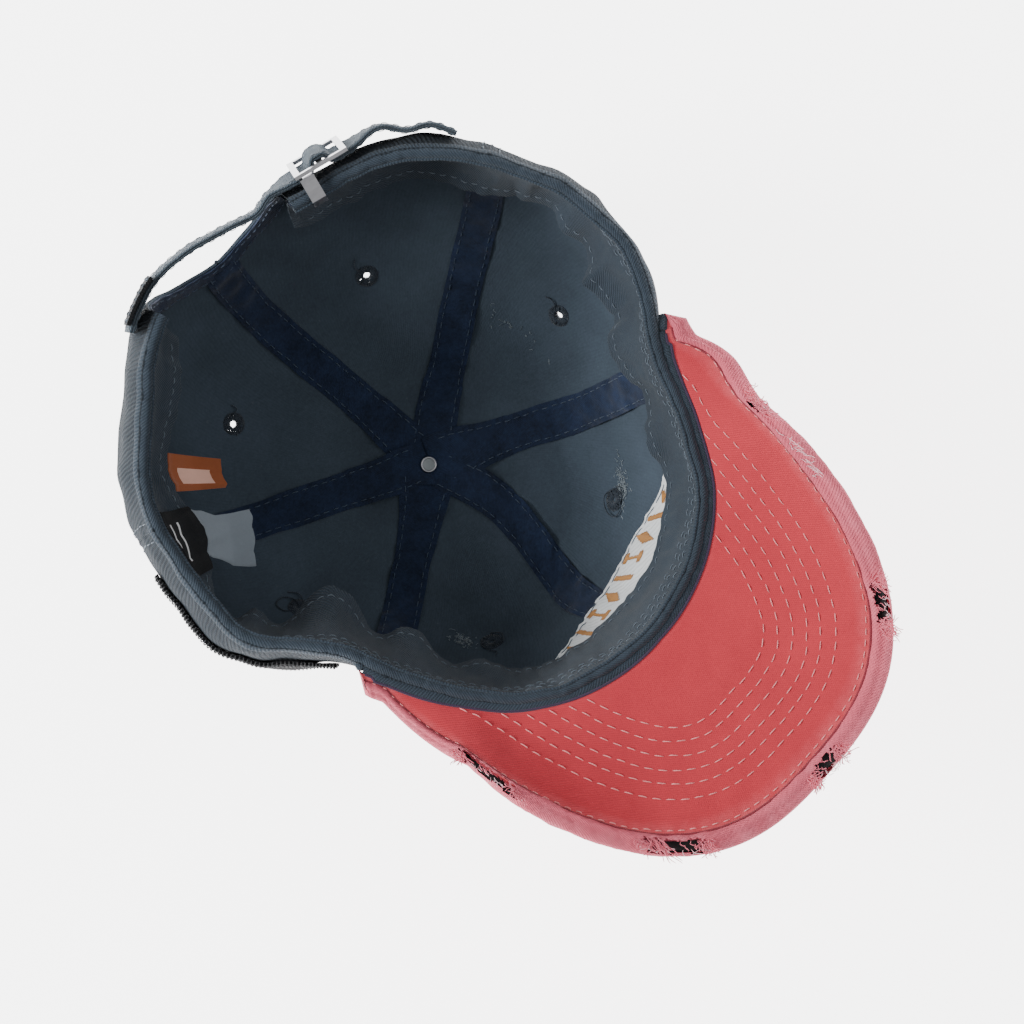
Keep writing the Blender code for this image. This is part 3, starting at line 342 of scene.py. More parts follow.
def brim_seam(place):
    angle = BRIM_SPREAD * place
    rim = crown_point(angle, 1.0)
    base = below_rim(angle, 2.6 * BRIM_SEAT)
    samples = [crown_point(angle, base + (1.0 - base) * share) for share in np.linspace(0, 1, 5)]
    centre = np.array([CROWN_LEAN_X, CROWN_LEAN_Y])
    reach = np.max([np.linalg.norm(sample[..., :2] - centre, axis=-1) for sample in samples], axis=0)
    away = unit(rim[..., :2] - centre)
    plan = centre + away * (reach + 1.6 * PIECE_GAP)[..., None]
    return np.concatenate([plan, rim[..., 2:] - BRIM_SEAT], axis=-1)


def squared_oval(turn):
    power = 2 / BRIM_SQUARENESS
    return np.sign(turn) * np.abs(np.sin(turn)) ** power, np.clip(np.cos(turn), 0, 1) ** power


def brim_edge(place):
    turns = np.linspace(0, math.pi / 2, 400)
    across, forward = squared_oval(turns)
    walked = np.cumsum(np.hypot(np.diff(across) * BRIM_HALF_WIDTH, np.diff(forward) * BRIM_REACH))
    walked = np.concatenate([[0.0], walked]) / walked[-1]
    place = np.asarray(place, float)
    across, forward = squared_oval(np.sign(place) * np.interp(np.abs(place), walked, turns))
    seam = brim_seam(place)
    front = brim_seam(np.zeros(1))[0]
    x = BRIM_CENTRE_X + BRIM_HALF_WIDTH * across
    y = BRIM_ROOT_Y - BRIM_REACH * forward
    z = front[2] + BRIM_TIP_RISE * forward + BRIM_SIDE_RISE * np.abs(across) ** 2.2
    away = np.stack([x, y], axis=-1) - seam[..., :2]
    length = np.linalg.norm(away, axis=-1, keepdims=True)
    least = np.maximum(length, BRIM_END_WIDTH)
    angle = np.radians(BRIM_SPREAD * place)
    outward = np.stack([np.sin(angle), -np.cos(angle)], axis=-1)
    narrow = np.clip(1 - (length - BRIM_END_WIDTH) / 0.016, 0, 1)
    way = unit(away / np.maximum(length, 1e-6) + outward * narrow)
    plan = seam[..., :2] + way * least
    fade = np.clip((length[..., 0] - BRIM_END_WIDTH) / 0.03, 0, 1)
    fade = fade * fade * (3 - 2 * fade)
    height = seam[..., 2] + (z - seam[..., 2]) * fade
    return np.concatenate([plan, height[..., None]], axis=-1)


BRIM_PLACES = np.linspace(-1, 1, BRIM_STEPS + 1)
SEAM_LINE = brim_seam(BRIM_PLACES)
EDGE_LINE = brim_edge(BRIM_PLACES)
outwards = EDGE_LINE[:, :2] - SEAM_LINE[:, :2]
outwards = outwards / np.linalg.norm(outwards, axis=1)[:, None]
bulge = BRIM_BULGE * np.exp(-((BRIM_PLACES - BRIM_BULGE_PLACE) / BRIM_BULGE_SPREAD) ** 2)
EDGE_LINE[:, :2] += outwards * bulge[:, None]


def on_line(line, place):
    f = np.clip((np.asarray(place, float) + 1) / 2 * BRIM_STEPS, 0, BRIM_STEPS - 0.001)
    i = f.astype(int)
    t = (f - i)[..., None]
    return line[i] * (1 - t) + line[i + 1] * t


def brim_width(place):
    return np.linalg.norm(on_line(EDGE_LINE, place) - on_line(SEAM_LINE, place), axis=-1)


def brim_point(place, across):
    seam, edge = on_line(SEAM_LINE, place), on_line(EDGE_LINE, place)
    across = np.asarray(across)[..., None]
    point = seam + (edge - seam) * across
    sag = 0.10 * (edge[..., 2] - seam[..., 2])
    point[..., 2] = point[..., 2] - sag * 4 * across[..., 0] * (1 - across[..., 0])
    return point


def brim_normal(place, across):
    step = 0.01
    first, last = np.clip(place - step, -1, 1), np.clip(place + step, -1, 1)
    along = brim_point(last, across) - brim_point(first, across)
    out = brim_point(place, np.asarray(across) + step) - brim_point(place, np.asarray(across) - step)
    normal = unit(np.cross(out, along))
    normal = normal * np.sign(normal[..., 2:])
    free = np.clip(np.asarray(across) / 0.15, 0, 1)[..., None]
    return unit(normal * free + np.array([0, 0, 1.0]) * (1 - free))


def brim_crease(place):
    width = brim_width(place)
    return 1 - np.minimum(ROLL_WIDTH, 0.7 * width) / width


def brim_ripple(place, across):
    point = brim_point(place, across)
    return creases(BRIM_CREASES, point[..., 0], point[..., 1]) * np.clip(np.asarray(across) * 6, 0, 1)


def brim_at(place, across, lift):
    """Point over the brim's middle surface, with the cloth's own small waves."""
    place, across, lift = matched(place, across, lift)
    lifted = (lift + brim_ripple(place, across))[..., None]
    return brim_point(place, across) + brim_normal(place, across) * lifted


def wall_frame(way, drop):
    """Point, outward way and upward way of the crown's wall, a drop below the rim at the back."""
    angle = 180.0 - np.asarray(way, float)
    rise = below_rim(angle, drop)
    up = unit(crown_point(angle, rise + 0.01) - crown_point(angle, rise - 0.01))
    return crown_point(angle, rise), crown_normal(angle, rise), up


def strap_middle(way):
    """Middle line of the strap: it stands off the wall and hops over the buckle's bar."""
    way = np.asarray(way, float)
    stand = smooth_curve(STRAP_ROUTE, 1, way) / 1000
    drop = smooth_curve(STRAP_ROUTE, 2, way) / 1000
    per_degree = float(rim_radius(180.0 - BUCKLE_CENTRE)) * math.pi / 180
    hop = BUCKLE_PLATE + STRAP_THICKNESS + 2 * PIECE_GAP
    along = (way - BUCKLE_CENTRE) * per_degree
    inside = BUCKLE_STAND - (BUCKLE_PLATE + STRAP_THICKNESS) / 2 - PIECE_GAP
    near = np.exp(-(along / (0.62 * BUCKLE_LENGTH)) ** 6)
    stand = stand * (1 - near) + inside * near + hop * np.exp(-(along / (0.165 * BUCKLE_LENGTH)) ** 4)
    point, out, up = wall_frame(way, drop)
    return point + out * stand[..., None], out, up


# Mesh builders

def finish_mesh(name, points, faces, look, uv, marks=None, sharp=50):
    """Object of points in the cap's own frame, with cloth coordinates and a value at each point."""
    mesh = bpy.data.meshes.new(name)
    mesh.from_pydata((points + SHIFT).tolist(), [], faces)
    layer = mesh.uv_layers.new(name="cloth")
    loops = np.zeros(len(mesh.loops), dtype=np.int32)
    mesh.loops.foreach_get("vertex_index", loops)
    layer.data.foreach_set("uv", uv[loops].astype(np.float32).ravel())
    for key, values in (marks or {}).items():
        attribute = mesh.attributes.new(key, "FLOAT", "POINT")
        attribute.data.foreach_set("value", values.astype(np.float32))
    builder = bmesh.new()
    builder.from_mesh(mesh)
    loose = [v for v in builder.verts if not v.link_faces]
    bmesh.ops.delete(builder, geom=loose, context="VERTS")
    bmesh.ops.recalc_face_normals(builder, faces=builder.faces)
    builder.to_mesh(mesh)
    builder.free()
    mesh.shade_smooth()
    mesh.set_sharp_from_angle(angle=math.radians(sharp))
    mesh.materials.append(look)
    made = bpy.data.objects.new(name, mesh)
    bpy.context.collection.objects.link(made)
    return made


def shell(name, outer, inner, u, v, look, cut=None, marks=None):
    """Closed sheet between two equal grids of points, columns first, with cloth coordinates in metres."""
    columns, rows = outer.shape[:2]
    count = columns * rows
    points = np.concatenate([outer.reshape(-1, 3), inner.reshape(-1, 3)])
    uv = np.stack([np.broadcast_to(grid, (columns, rows)).ravel() for grid in (u, v)], axis=1)
    index = np.arange(count).reshape(columns, rows)
    quads = np.stack([index[:-1, :-1], index[1:, :-1], index[1:, 1:], index[:-1, 1:]], axis=-1)
    keep = np.ones(quads.shape[:2], bool) if cut is None else ~cut
    faces = quads[keep].tolist() + (quads[keep][:, ::-1] + count).tolist()
    for i in range(columns - 1):
        for j in (0, rows - 1):
            a, b = int(index[i, j]), int(index[i + 1, j])
            faces.append([a, a + count, b + count, b])
    for i in (0, columns - 1):
        for j in range(rows - 1):
            a, b = int(index[i, j]), int(index[i, j + 1])
            faces.append([a, b, b + count, a + count])
    values = {"inside": np.concatenate([np.zeros(count), np.ones(count)])}
    for key, grid in (marks or {}).items():
        flat = np.broadcast_to(grid, (columns, rows)).ravel()
        values[key] = np.concatenate([flat, flat])
    return finish_mesh(name, points, faces, look, np.concatenate([uv, uv]), values)


def tubes(name, paths, radii, look, sides=5, taper=True):
    """Many thin tubes along short paths, as one joined mesh."""
    points, faces, uvs = [], [], []
    base = 0
    turns = np.linspace(0, 2 * math.pi, sides, endpoint=False)
    for path, radius in zip(paths, radii):
        path = np.asarray(path, float)
        tangent = unit(np.gradient(path, axis=0))
        helper = np.array([0, 0, 1.0]) if abs(tangent[0][2]) < 0.9 else np.array([1.0, 0, 0])
        side = unit(np.cross(tangent, helper))
        up = np.cross(side, tangent)
        n = len(path)
        size = np.full(n, radius)
        if taper:
            size[[0, -1]] *= 0.45
        ring = (path[:, None, :] + side[:, None, :] * np.cos(turns)[None, :, None] * size[:, None, None]
                + up[:, None, :] * np.sin(turns)[None, :, None] * size[:, None, None])
        points.append(ring.reshape(-1, 3))
        uvs.append(np.stack([np.repeat(walked_along(path), sides), np.tile(turns * radius, n)], axis=1))
        for i in range(n - 1):
            for j in range(sides):
                a, b = base + i * sides + j, base + i * sides + (j + 1) % sides
                faces.append([a, b, b + sides, a + sides])
        faces.append([base + j for j in range(sides)])
        faces.append([base + (n - 1) * sides + j for j in reversed(range(sides))])
        base += n * sides
    return finish_mesh(name, np.concatenate(points), faces, look, np.concatenate(uvs), sharp=80)


def stitch_paths(line, normals, length=0.0028, space=0.0009, lift=0.00022, sink=0.0002, wander=0.00012):
    """Short humps of thread along a line of points with its surface normals."""
    run = walked_along(line)
    count = int(run[-1] / (length + space))
    paths = []
    if count < 1:
        return paths
    pitch = run[-1] / count
    for k in range(count):
        start = k * pitch + space / 2
        places = start + np.linspace(0, 1, 5) * (pitch - space)
        spot = np.stack([np.interp(places, run, line[:, c]) for c in range(3)], axis=1)
        out = unit(np.stack([np.interp(places, run, normals[:, c]) for c in range(3)], axis=1))
        hump = np.array([-sink, 0.7 * lift, lift, 0.7 * lift, -sink])
        slide = unit(np.cross(out[2], spot[-1] - spot[0])) * rng.normal(0, wander)
        paths.append(spot + out * hump[:, None] + slide)
    return paths


def rides(made, *nodes, finish=None):
    """The piece rides the cap's only body, and may replace solids of the same place."""
    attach(made, "root")
    if nodes:
        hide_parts(*nodes)
    return made


def threads(name, paths, radius, look, **form):
    """Threads of one thickness, which replace no solid."""
    return rides(tubes(name, paths, [radius] * len(paths), look, **form))


def crown_u(angle):
    return np.radians(angle) * CLOTH_TURN


# Materials

BLACK = (0.0, 0.0, 0.0, 1.0)
WHITE = (1.0, 1.0, 1.0, 1.0)
PAPER = (0.90, 0.90, 0.90, 1.0)
LINT_COLOUR = (0.55, 0.58, 0.60, 1.0)
TWIST_PITCH = 0.0007


class Nodes:
    """Small helper for building a material's node tree."""

    def __init__(self, name):
        self.material = bpy.data.materials.new(name)
        self.material.use_nodes = True
        self.tree = self.material.node_tree
        self.shader = self.tree.nodes["Principled BSDF"]

    def add(self, kind, inputs=None, **settings):
        made = self.tree.nodes.new(kind)
        for key, value in settings.items():
            setattr(made, key, value)
        for key, value in (inputs or {}).items():
            self.put(made.inputs[key], value)
        return made

    def put(self, socket, value):
        if isinstance(value, bpy.types.NodeSocket):
            self.tree.links.new(value, socket)
        else:
            socket.default_value = value

    def sum(self, operation, a, b=0.0, clamp=False):
        return self.add("ShaderNodeMath", {0: a, 1: b}, operation=operation, use_clamp=clamp).outputs[0]

    def noise(self, place, scale, detail=2.0, rough=0.5):
        inputs = {"Vector": place, "Scale": scale, "Detail": detail, "Roughness": rough}
        return self.add("ShaderNodeTexNoise", inputs).outputs["Fac"]

    def ramp(self, value, low, high):
        made = self.add("ShaderNodeMapRange", {"Value": value, "From Min": low, "From Max": high}, clamp=True)
        return made.outputs["Result"]

    def mix(self, share, first, second, blend="MIX"):
        made = self.add("ShaderNodeMix", data_type="RGBA", blend_type=blend, clamp_factor=True)
        self.put(made.inputs[0], share)
        self.put(made.inputs[6], first)
        self.put(made.inputs[7], second)
        return made.outputs[2]

    def spread(self, value, low, high):
        made = self.add("ShaderNodeMapRange", {"Value": value, "To Min": low, "To Max": high})
        return made.outputs["Result"]

    def finish(self, base, rough, height, relief, strength=1.0):
        self.put(self.shader.inputs["Base Color"], base)
        self.put(self.shader.inputs["Roughness"], rough)
        bump = self.add("ShaderNodeBump", {"Strength": strength, "Distance": relief, "Height": height})
        self.put(self.shader.inputs["Normal"], bump.outputs["Normal"])


def rgb(r, g, b):
    """Linear colour of an sRGB value from 0 to 255."""
    return tuple(((c / 255 + 0.055) / 1.055) ** 2.4 for c in (r, g, b)) + (1.0,)


def toned(colour, share):
    """The colour made darker or lighter by a share."""
    return tuple(min(1.0, c * share) for c in colour[:3]) + (1.0,)


def cloth(name, colour, pitch=0.0010, slant=1.0, relief=0.00016, mottle=0.30, lint=0.0, sheen=0.25,
          shade=0.35, inner=None, inner_relief=0.5, fade=None, cloud=38.0):
    """Twill or plain cloth: ridges across the weave with painted shade in their grooves, mottled dye, lint
    and a soft sheen; on the navy tape the mottle is painted light and shade of its puckers.
    """
    n = Nodes(name)
    uv = n.add("ShaderNodeUVMap", uv_map="cloth").outputs["UV"]
    place = n.add("ShaderNodeTexCoord").outputs["Object"]
    split = n.add("ShaderNodeSeparateXYZ", {0: uv})
    u, v = split.outputs["X"], split.outputs["Y"]
    wobble = n.sum("MULTIPLY", n.noise(place, 220.0, 2.0), pitch * 1.1)
    across = n.sum("ADD", n.sum("ADD", u, n.sum("MULTIPLY", v, slant)), wobble)
    ridge = n.sum("SINE", n.sum("MULTIPLY", across, 2 * math.pi / pitch))
    along = n.sum("SUBTRACT", v, n.sum("MULTIPLY", u, 0.35))
    beads = n.sum("SINE", n.sum("MULTIPLY", along, 2 * math.pi / (pitch * 0.62)))
    grain = n.noise(place, 2600.0, 2.0)
    height = n.sum("ADD", n.sum("MULTIPLY", ridge, 0.5), n.sum("MULTIPLY", beads, 0.16))
    height = n.sum("ADD", height, n.sum("MULTIPLY", grain, 0.9))
    # Blotches of tone; at the navy tape's small cloud scale and strong mottle they are painted light and
    # shade of its puckers
    cloudy = n.ramp(n.noise(place, cloud, 4.0, 0.6), 0.32, 0.70)
    speck = n.ramp(n.noise(place, 900.0, 3.0, 0.65), 0.30, 0.72)
    share = n.sum("ADD", n.sum("MULTIPLY", cloudy, 0.55), n.sum("MULTIPLY", speck, 0.45))
    base = n.mix(share, toned(colour, 1 - mottle), toned(colour, 1 + mottle))
    if inner is not None:
        inside = n.add("ShaderNodeAttribute", attribute_name="inside").outputs["Fac"]
        base = n.mix(inside, base, n.mix(share, toned(inner, 1 - mottle), toned(inner, 1 + mottle)))
    if fade is not None:
        worn = n.add("ShaderNodeAttribute", attribute_name="worn").outputs["Fac"]
        worn = n.sum("MULTIPLY", worn, n.ramp(n.noise(place, 260.0, 3.0, 0.6), 0.2, 0.75), clamp=True)
        base = n.mix(worn, base, fade)
    # Painted shade: the colour is darkened towards black in the weave's grooves, by the share shade
    groove = n.ramp(ridge, -1.0, 0.4)
    painted_groove_shade = n.sum("MULTIPLY", n.sum("SUBTRACT", 1.0, groove), shade)
    if inner is not None:
        painted_groove_shade = n.sum("MULTIPLY", painted_groove_shade, n.sum("SUBTRACT", 1.0, n.sum("MULTIPLY", inside, 0.85)))
    base = n.mix(painted_groove_shade, base, BLACK)
    if lint:
        fluff = n.ramp(n.noise(place, 420.0, 6.0, 0.75), 0.62, 0.74)
        base = n.mix(n.sum("MULTIPLY", fluff, lint), base, LINT_COLOUR)
    if inner is not None:
        height = n.sum("MULTIPLY", height, n.spread(inside, 1.0, inner_relief))
    n.finish(base, n.spread(grain, 0.86, 1.0), height, relief)
    n.shader.inputs["Specular IOR Level"].default_value = 0.25
    n.shader.inputs["Sheen Weight"].default_value = sheen
    n.shader.inputs["Sheen Roughness"].default_value = 0.55
    return n.material


def thread(name, colour, gloss=0.55):
    """Twisted sewing thread."""
    n = Nodes(name)
    uv = n.add("ShaderNodeUVMap", uv_map="cloth").outputs["UV"]
    place = n.add("ShaderNodeTexCoord").outputs["Object"]
    split = n.add("ShaderNodeSeparateXYZ", {0: uv})
    slant = n.sum("ADD", split.outputs["X"], split.outputs["Y"])
    twist = n.sum("SINE", n.sum("MULTIPLY", slant, 2 * math.pi / TWIST_PITCH))
    tone = n.noise(place, 500.0, 2.0)
    base = n.mix(tone, toned(colour, 0.7), toned(colour, 1.25))
    n.finish(base, n.spread(tone, gloss, gloss + 0.2), twist, 0.0001, strength=0.6)
    n.shader.inputs["Sheen Weight"].default_value = 0.2
    return n.material


def plain(name, colour, rough, metal=0.0, scale=700.0, relief=0.00002, tone=0.15):
    """Metal, board or print with fine scratches or grain."""
    n = Nodes(name)
    place = n.add("ShaderNodeTexCoord").outputs["Object"]
    fine = n.noise(place, scale, 4.0, 0.6)
    wide = n.noise(place, scale / 12, 3.0)
    share = n.sum("ADD", n.sum("MULTIPLY", fine, 0.5), n.sum("MULTIPLY", wide, 0.5))
    base = n.mix(share, toned(colour, 1 - tone), toned(colour, 1 + tone))
    n.finish(base, n.spread(share, rough * 0.8, min(1.0, rough * 1.3)), fine, relief)
    n.shader.inputs["Metallic"].default_value = metal
    return n.material


SLATE = rgb(34, 42, 50)
LINING = rgb(60, 71, 82)

slate = cloth("slate_twill", SLATE, pitch=0.0015, slant=0.3, relief=0.00030, inner=LINING, inner_relief=0.10,
              lint=0.05, mottle=0.24, sheen=0.03)
band_cloth = cloth("band_twill", rgb(47, 58, 69), pitch=0.0011, lint=0.04, mottle=0.26, sheen=0.10)
# Navy tape: its strong, small mottle is painted light and shade of the satin puckers
navy = cloth("navy_tape", rgb(27, 40, 64), pitch=0.00075, relief=0.00007, mottle=0.55, lint=0.02, shade=0.2,
             cloud=150.0, sheen=0.12)
coral = cloth("coral_twill", rgb(186, 52, 62), relief=0.00010, mottle=0.10, shade=0.10, lint=0.03,
              fade=rgb(228, 112, 120), sheen=0.08, cloud=60.0)
pink = cloth("pink_edge", rgb(212, 98, 114), slant=-1.0, mottle=0.14, shade=0.16, fade=rgb(222, 118, 134),
             sheen=0.05)
strap_cloth = cloth("strap_twill", rgb(58, 70, 80), pitch=0.0011, lint=0.10, mottle=0.28, sheen=0.10)
black_cloth = cloth("dark_cloth", rgb(24, 26, 29), pitch=0.0008, relief=0.00012, sheen=0.03)
backing_cloth = cloth("backing_felt", rgb(214, 217, 218), pitch=0.0030, relief=0.00012, mottle=0.10,
                      shade=0.02)
brown_cloth = cloth("brown_label", rgb(146, 80, 48), pitch=0.0005, relief=0.00004, mottle=0.10, shade=0.1)
grey_cloth = cloth("grey_label", rgb(122, 131, 140), pitch=0.0005, relief=0.00004, mottle=0.06, shade=0.05)
steel = plain("steel", (0.42, 0.42, 0.44, 1.0), 0.28, metal=1.0, tone=0.3)
board_look = plain("black_board", rgb(22, 20, 22), 0.8, scale=300.0, relief=0.0001, tone=0.4)
print_pale = plain("pale_print", rgb(214, 168, 150), 0.7)
print_white = plain("white_print", rgb(206, 208, 210), 0.7)
coral_thread = thread("coral_thread", rgb(238, 138, 140))
pink_thread = thread("pink_thread", rgb(232, 116, 134), 0.8)
pale_thread = thread("pale_thread", rgb(244, 190, 198), 0.8)
navy_thread = thread("navy_thread", rgb(48, 66, 88))
teal_thread = thread("teal_thread", rgb(24, 38, 52), 0.6)
slate_thread = thread("slate_thread", rgb(88, 100, 112), 0.7)
gold_thread = thread("gold_thread", rgb(172, 118, 58), 0.5)
black_thread = thread("black_thread", rgb(28, 30, 34), 0.7)


# Crown panels

def edge_rows(count, radius):
    """How far a sheet's last rows lie from its edge, and their shares of its thickness."""
    turns = np.radians(np.linspace(0, 90, count))
    return radius * (1 - np.sin(turns)), np.maximum(np.cos(turns), 0.12)


EYELETS = (("front_right", 30, False), ("side_right", 90, True), ("back_right", 150, True),
           ("back_left", -150, True), ("side_left", -90, False), ("front_left", -30, False))
PANELS = (("panel_front_right", 0, 60, None), ("panel_side_right", 60, 120, None),
          ("panel_back_right", 120, 180, 180), ("panel_back_left", -180, -120, -180),
          ("panel_side_left", -120, -60, None), ("panel_front_left", -60, 0, None))
EYELET_HOLE = 0.0027
SEAM_SETBACK = 0.00018


def eyelet_spot(angle):
    """Centre of an eyelet on the outer face, two ways along the cloth and the way out."""
    rise = float(from_button(angle, EYELET_DISTANCE))
    e1 = unit(crown_point(angle + 1, rise) - crown_point(angle - 1, rise))
    out = crown_normal(angle, rise)
    return crown_at(angle, rise, 0.0), e1, np.cross(out, e1), out


PANEL_BEND = 0.55


def panel_shares(end, opens_at):
    """Places across a panel, closer together where the back opening cuts it."""
    if opens_at is None:
        return np.linspace(0, 1, 50)
    reach = arch_half_angle() / 60.0
    bend = reach * np.sin(np.linspace(0, math.pi / 2, 26))
    shares = np.concatenate([bend, np.linspace(reach, 1, 38)[1:]])
    return 1 - shares[::-1] if opens_at == end else shares


def crown_panel(name, start, end, eye, is_open, opens_at):
    shares = panel_shares(end, opens_at)
    angles = start + (end - start) * shares
    drop = np.zeros(angles.size) if opens_at is None else arch_drop(turn_between(180.0, angles))
    near, thin = edge_rows(5, WALL / 2)
    body = np.concatenate([np.linspace(0, PANEL_BEND, 46), np.linspace(PANEL_BEND, 1.0, 52)[1:]])
    columns = []
    for a, d in zip(angles, drop):
        top = float(below_rim(a, d + WALL / 2))
        wall = PANEL_BEND + (body - PANEL_BEND) / (1 - PANEL_BEND) * (top - PANEL_BEND)
        upper = np.where(body <= PANEL_BEND, body, wall)
        columns.append(np.concatenate([upper, below_rim(a, d + near[1:])]))
    rises = np.array(columns)
    thickness = np.concatenate([np.ones(body.size), thin[1:]])
    turn = angles[:, None] + np.zeros_like(rises)
    at_seam = np.where((shares < 1e-6) | (shares > 1 - 1e-6), 1, 0)
    sign = (np.where(shares < 0.5, 1, -1) * at_seam)[:, None]
    plan = np.maximum(np.linalg.norm(crown_point(turn, rises)[..., :2], axis=-1), 0.004)
    turn = turn + sign * np.degrees(SEAM_SETBACK / plan) * np.sign(end - start)
    outer = crown_at(turn, rises, WALL / 2 * (1 - thickness))
    inner = crown_at(turn, rises, WALL / 2 * (1 + thickness))
    cut = None
    if is_open:
        centre, e1, e2, _ = eyelet_spot(eye)
        middle = (outer[:-1, :-1] + outer[1:, 1:]) / 2 - centre
        cut = np.hypot(middle @ e1, middle @ e2) < EYELET_HOLE
    return shell(name, outer, inner, crown_u(turn), rises * CLOTH_RISE, slate, cut=cut)


for (node, start, end, opens_at), (_, eye, is_open) in zip(PANELS, EYELETS):
    panel = crown_panel("cloth_" + node, start, end, eye, is_open, opens_at)
    rides(panel, node, finish="slate_twill")


# Eyelets of buttonhole stitches, and the loose tails of their thread

EYELET_THREAD = 0.00030
SLEEVE_THREAD = 0.00075
TAIL_THREAD = 0.00022
EYELET_RADIUS = 0.0040
# Millimetres from the eyelet's middle
TAILS = {
    "front_right": (((0, 3), (-3.5, 4.5), (-6.5, 1.5), (-4.5, -3.0), (0.5, -4.8), (3.0, -2.0), (1.2, 0.2)),
                    ((-2, 3.5), (1.5, 5.2), (4.5, 4.0), (4.8, 1.0))),
    "front_left": (((-3.5, 2), (-1.5, 5.5), (1.5, 7.5), (0.5, 10.0)),
                   ((2, 3), (4.5, 1.5), (4.0, -3.0), (0, -4.6))),
    "side_left": (((-1, 2), (-5, 4.5), (-8.5, 2.5), (-7.0, -1.5), (-3.0, -2.2), (0.5, 0.5), (4.5, 3.0),
                   (7.0, 1.0)),
                  ((1, -2), (-2, -5.5), (-6.5, -5.0))),
    "side_right": (((3, 2), (6.0, 3.0), (8.5, 1.5)),),
    "back_right": (((2, 3), (2.6, 6.5), (1.2, 8.8)),),
    "back_left": (((-3, 1), (-5.5, -0.5), (-7.0, 1.5)),),
}


def ring_stitches(centre, e1, e2, out, inner, outer, count, lift):
    """Stitches that run outwards from a hole, all round it."""
    paths = []
    for k in range(count):
        a = 2 * math.pi * (k + rng.normal(0, 0.12)) / count
        way = e1 * math.cos(a) + e2 * math.sin(a)
        twist = np.cross(out, way) * rng.normal(0.0002, 0.00015)
        r0, r1 = inner * (1 + rng.normal(0, 0.05)), outer * (1 + rng.normal(0, 0.04))
        paths.append(np.array([centre + way * r0 - out * lift * 0.6,
                               centre + way * (r0 + 0.1 * (r1 - r0)) + out * lift,
                               centre + way * (r0 + r1) / 2 + out * lift * 1.35 + twist,
                               centre + way * (r1 - 0.0003) + out * lift * 0.9 + twist,
                               centre + way * r1 - out * 0.0003 + twist]))
    return paths


def smooth_path(points, count):
    """Smooth curve through a few points."""
    points = np.array(points, float)
    t = np.linspace(0, len(points) - 1, count)
    padded = np.concatenate([2 * points[:1] - points[1:2], points, 2 * points[-1:] - points[-2:-1]])
    i = np.clip(t.astype(int), 0, len(points) - 2)
    s = (t - i)[:, None]
    a, b, c, d = padded[i], padded[i + 1], padded[i + 2], padded[i + 3]
    square, cube = 2 * a - 5 * b + 4 * c - d, 3 * b - a - 3 * c + d
    return 0.5 * (2 * b + (c - a) * s + square * s ** 2 + cube * s ** 3)


def circle(centre, e1, e2, radius, count):
    return np.array([centre + (e1 * math.cos(a) + e2 * math.sin(a)) * radius
                     for a in np.linspace(0, 2 * math.pi, count)])


for place, eye, is_open in EYELETS:
    centre, e1, e2, out = eyelet_spot(eye)
    inward = -out
    base = centre + inward * (WALL + 0.0001)
    hollow = 0.0015 if is_open else 0.0009
    paths = ring_stitches(base, e1, e2, inward, hollow, EYELET_RADIUS + 0.0003, 30, 0.00045)
    paths += ring_stitches(centre - inward * 0.0001, e1, e2, out, hollow, EYELET_RADIUS + 0.0001, 26, 0.00035)
    radii = [EYELET_THREAD] * len(paths)
    paths.append(circle(base + inward * 0.0003, e1, e2, EYELET_RADIUS, 28))
    radii.append(EYELET_THREAD)
    paths.append(circle(centre + inward * WALL * 0.5, e1, e2, hollow + 0.0004, 20))
    radii.append(SLEEVE_THREAD)
    for tail in TAILS[place]:
        flat = smooth_path([(x, y, 0.0) for x, y in tail], 26) / 1000
        lift = 0.0006 + 0.0007 * np.abs(np.sin(np.linspace(0.2, 2.8, len(flat))))
        paths.append(base + flat[:, :1] * e1 + flat[:, 1:2] * e2 + inward * lift[:, None])
        radii.append(TAIL_THREAD)
    rides(tubes("stitched_eyelet_" + place, paths, radii, teal_thread), "eyelet_" + place, finish="navy_tape")


# Seam tapes

# Node, angle, end below the rim, how far it lies over the others, bow and sway of its middle line
TAPES = (("tape_front", 0, BACKING_DEPTH + 0.006, 0.00045, 0.0042, 0.0034),
         ("tape_front_right", 60, 0.010, 0.00115, 0.0, 0.0008),
         ("tape_back_right", 120, 0.010, 0.0003, 0.0, 0.0010),
         ("tape_back", 180, ARCH_DEPTH + 0.003, 0.0, 0.0, -0.0008),
         ("tape_back_left", -120, 0.010, 0.00115, 0.0, -0.0008),
         ("tape_front_left", -60, 0.010, 0.0005, 0.0, 0.0006))


def tape_spot(angle, s, w, depth):
    """Point on a tape: distance from the button, offset to the side and depth."""
    s, w, depth = matched(s, w, depth)
    rises = from_button(angle, s)
    plan = np.maximum(np.linalg.norm(crown_point(angle, rises)[..., :2], axis=-1), 1e-4)
    plan = np.where(s < 0.03, np.maximum(s, 1e-4), plan)
    turned = angle + np.degrees(np.arctan2(w, plan))
    return crown_at(turned, from_button(angle, np.hypot(s, w)), depth)


def tape_length(angle, end):
    """Length of a tape along the cloth, from the button to its end below the rim."""
    rises = np.linspace(0, 0.999, 400)
    walked = walked_along(crown_point(np.full(rises.size, float(angle)), rises))
    return float(np.interp(float(below_rim(angle, end)), rises, walked))


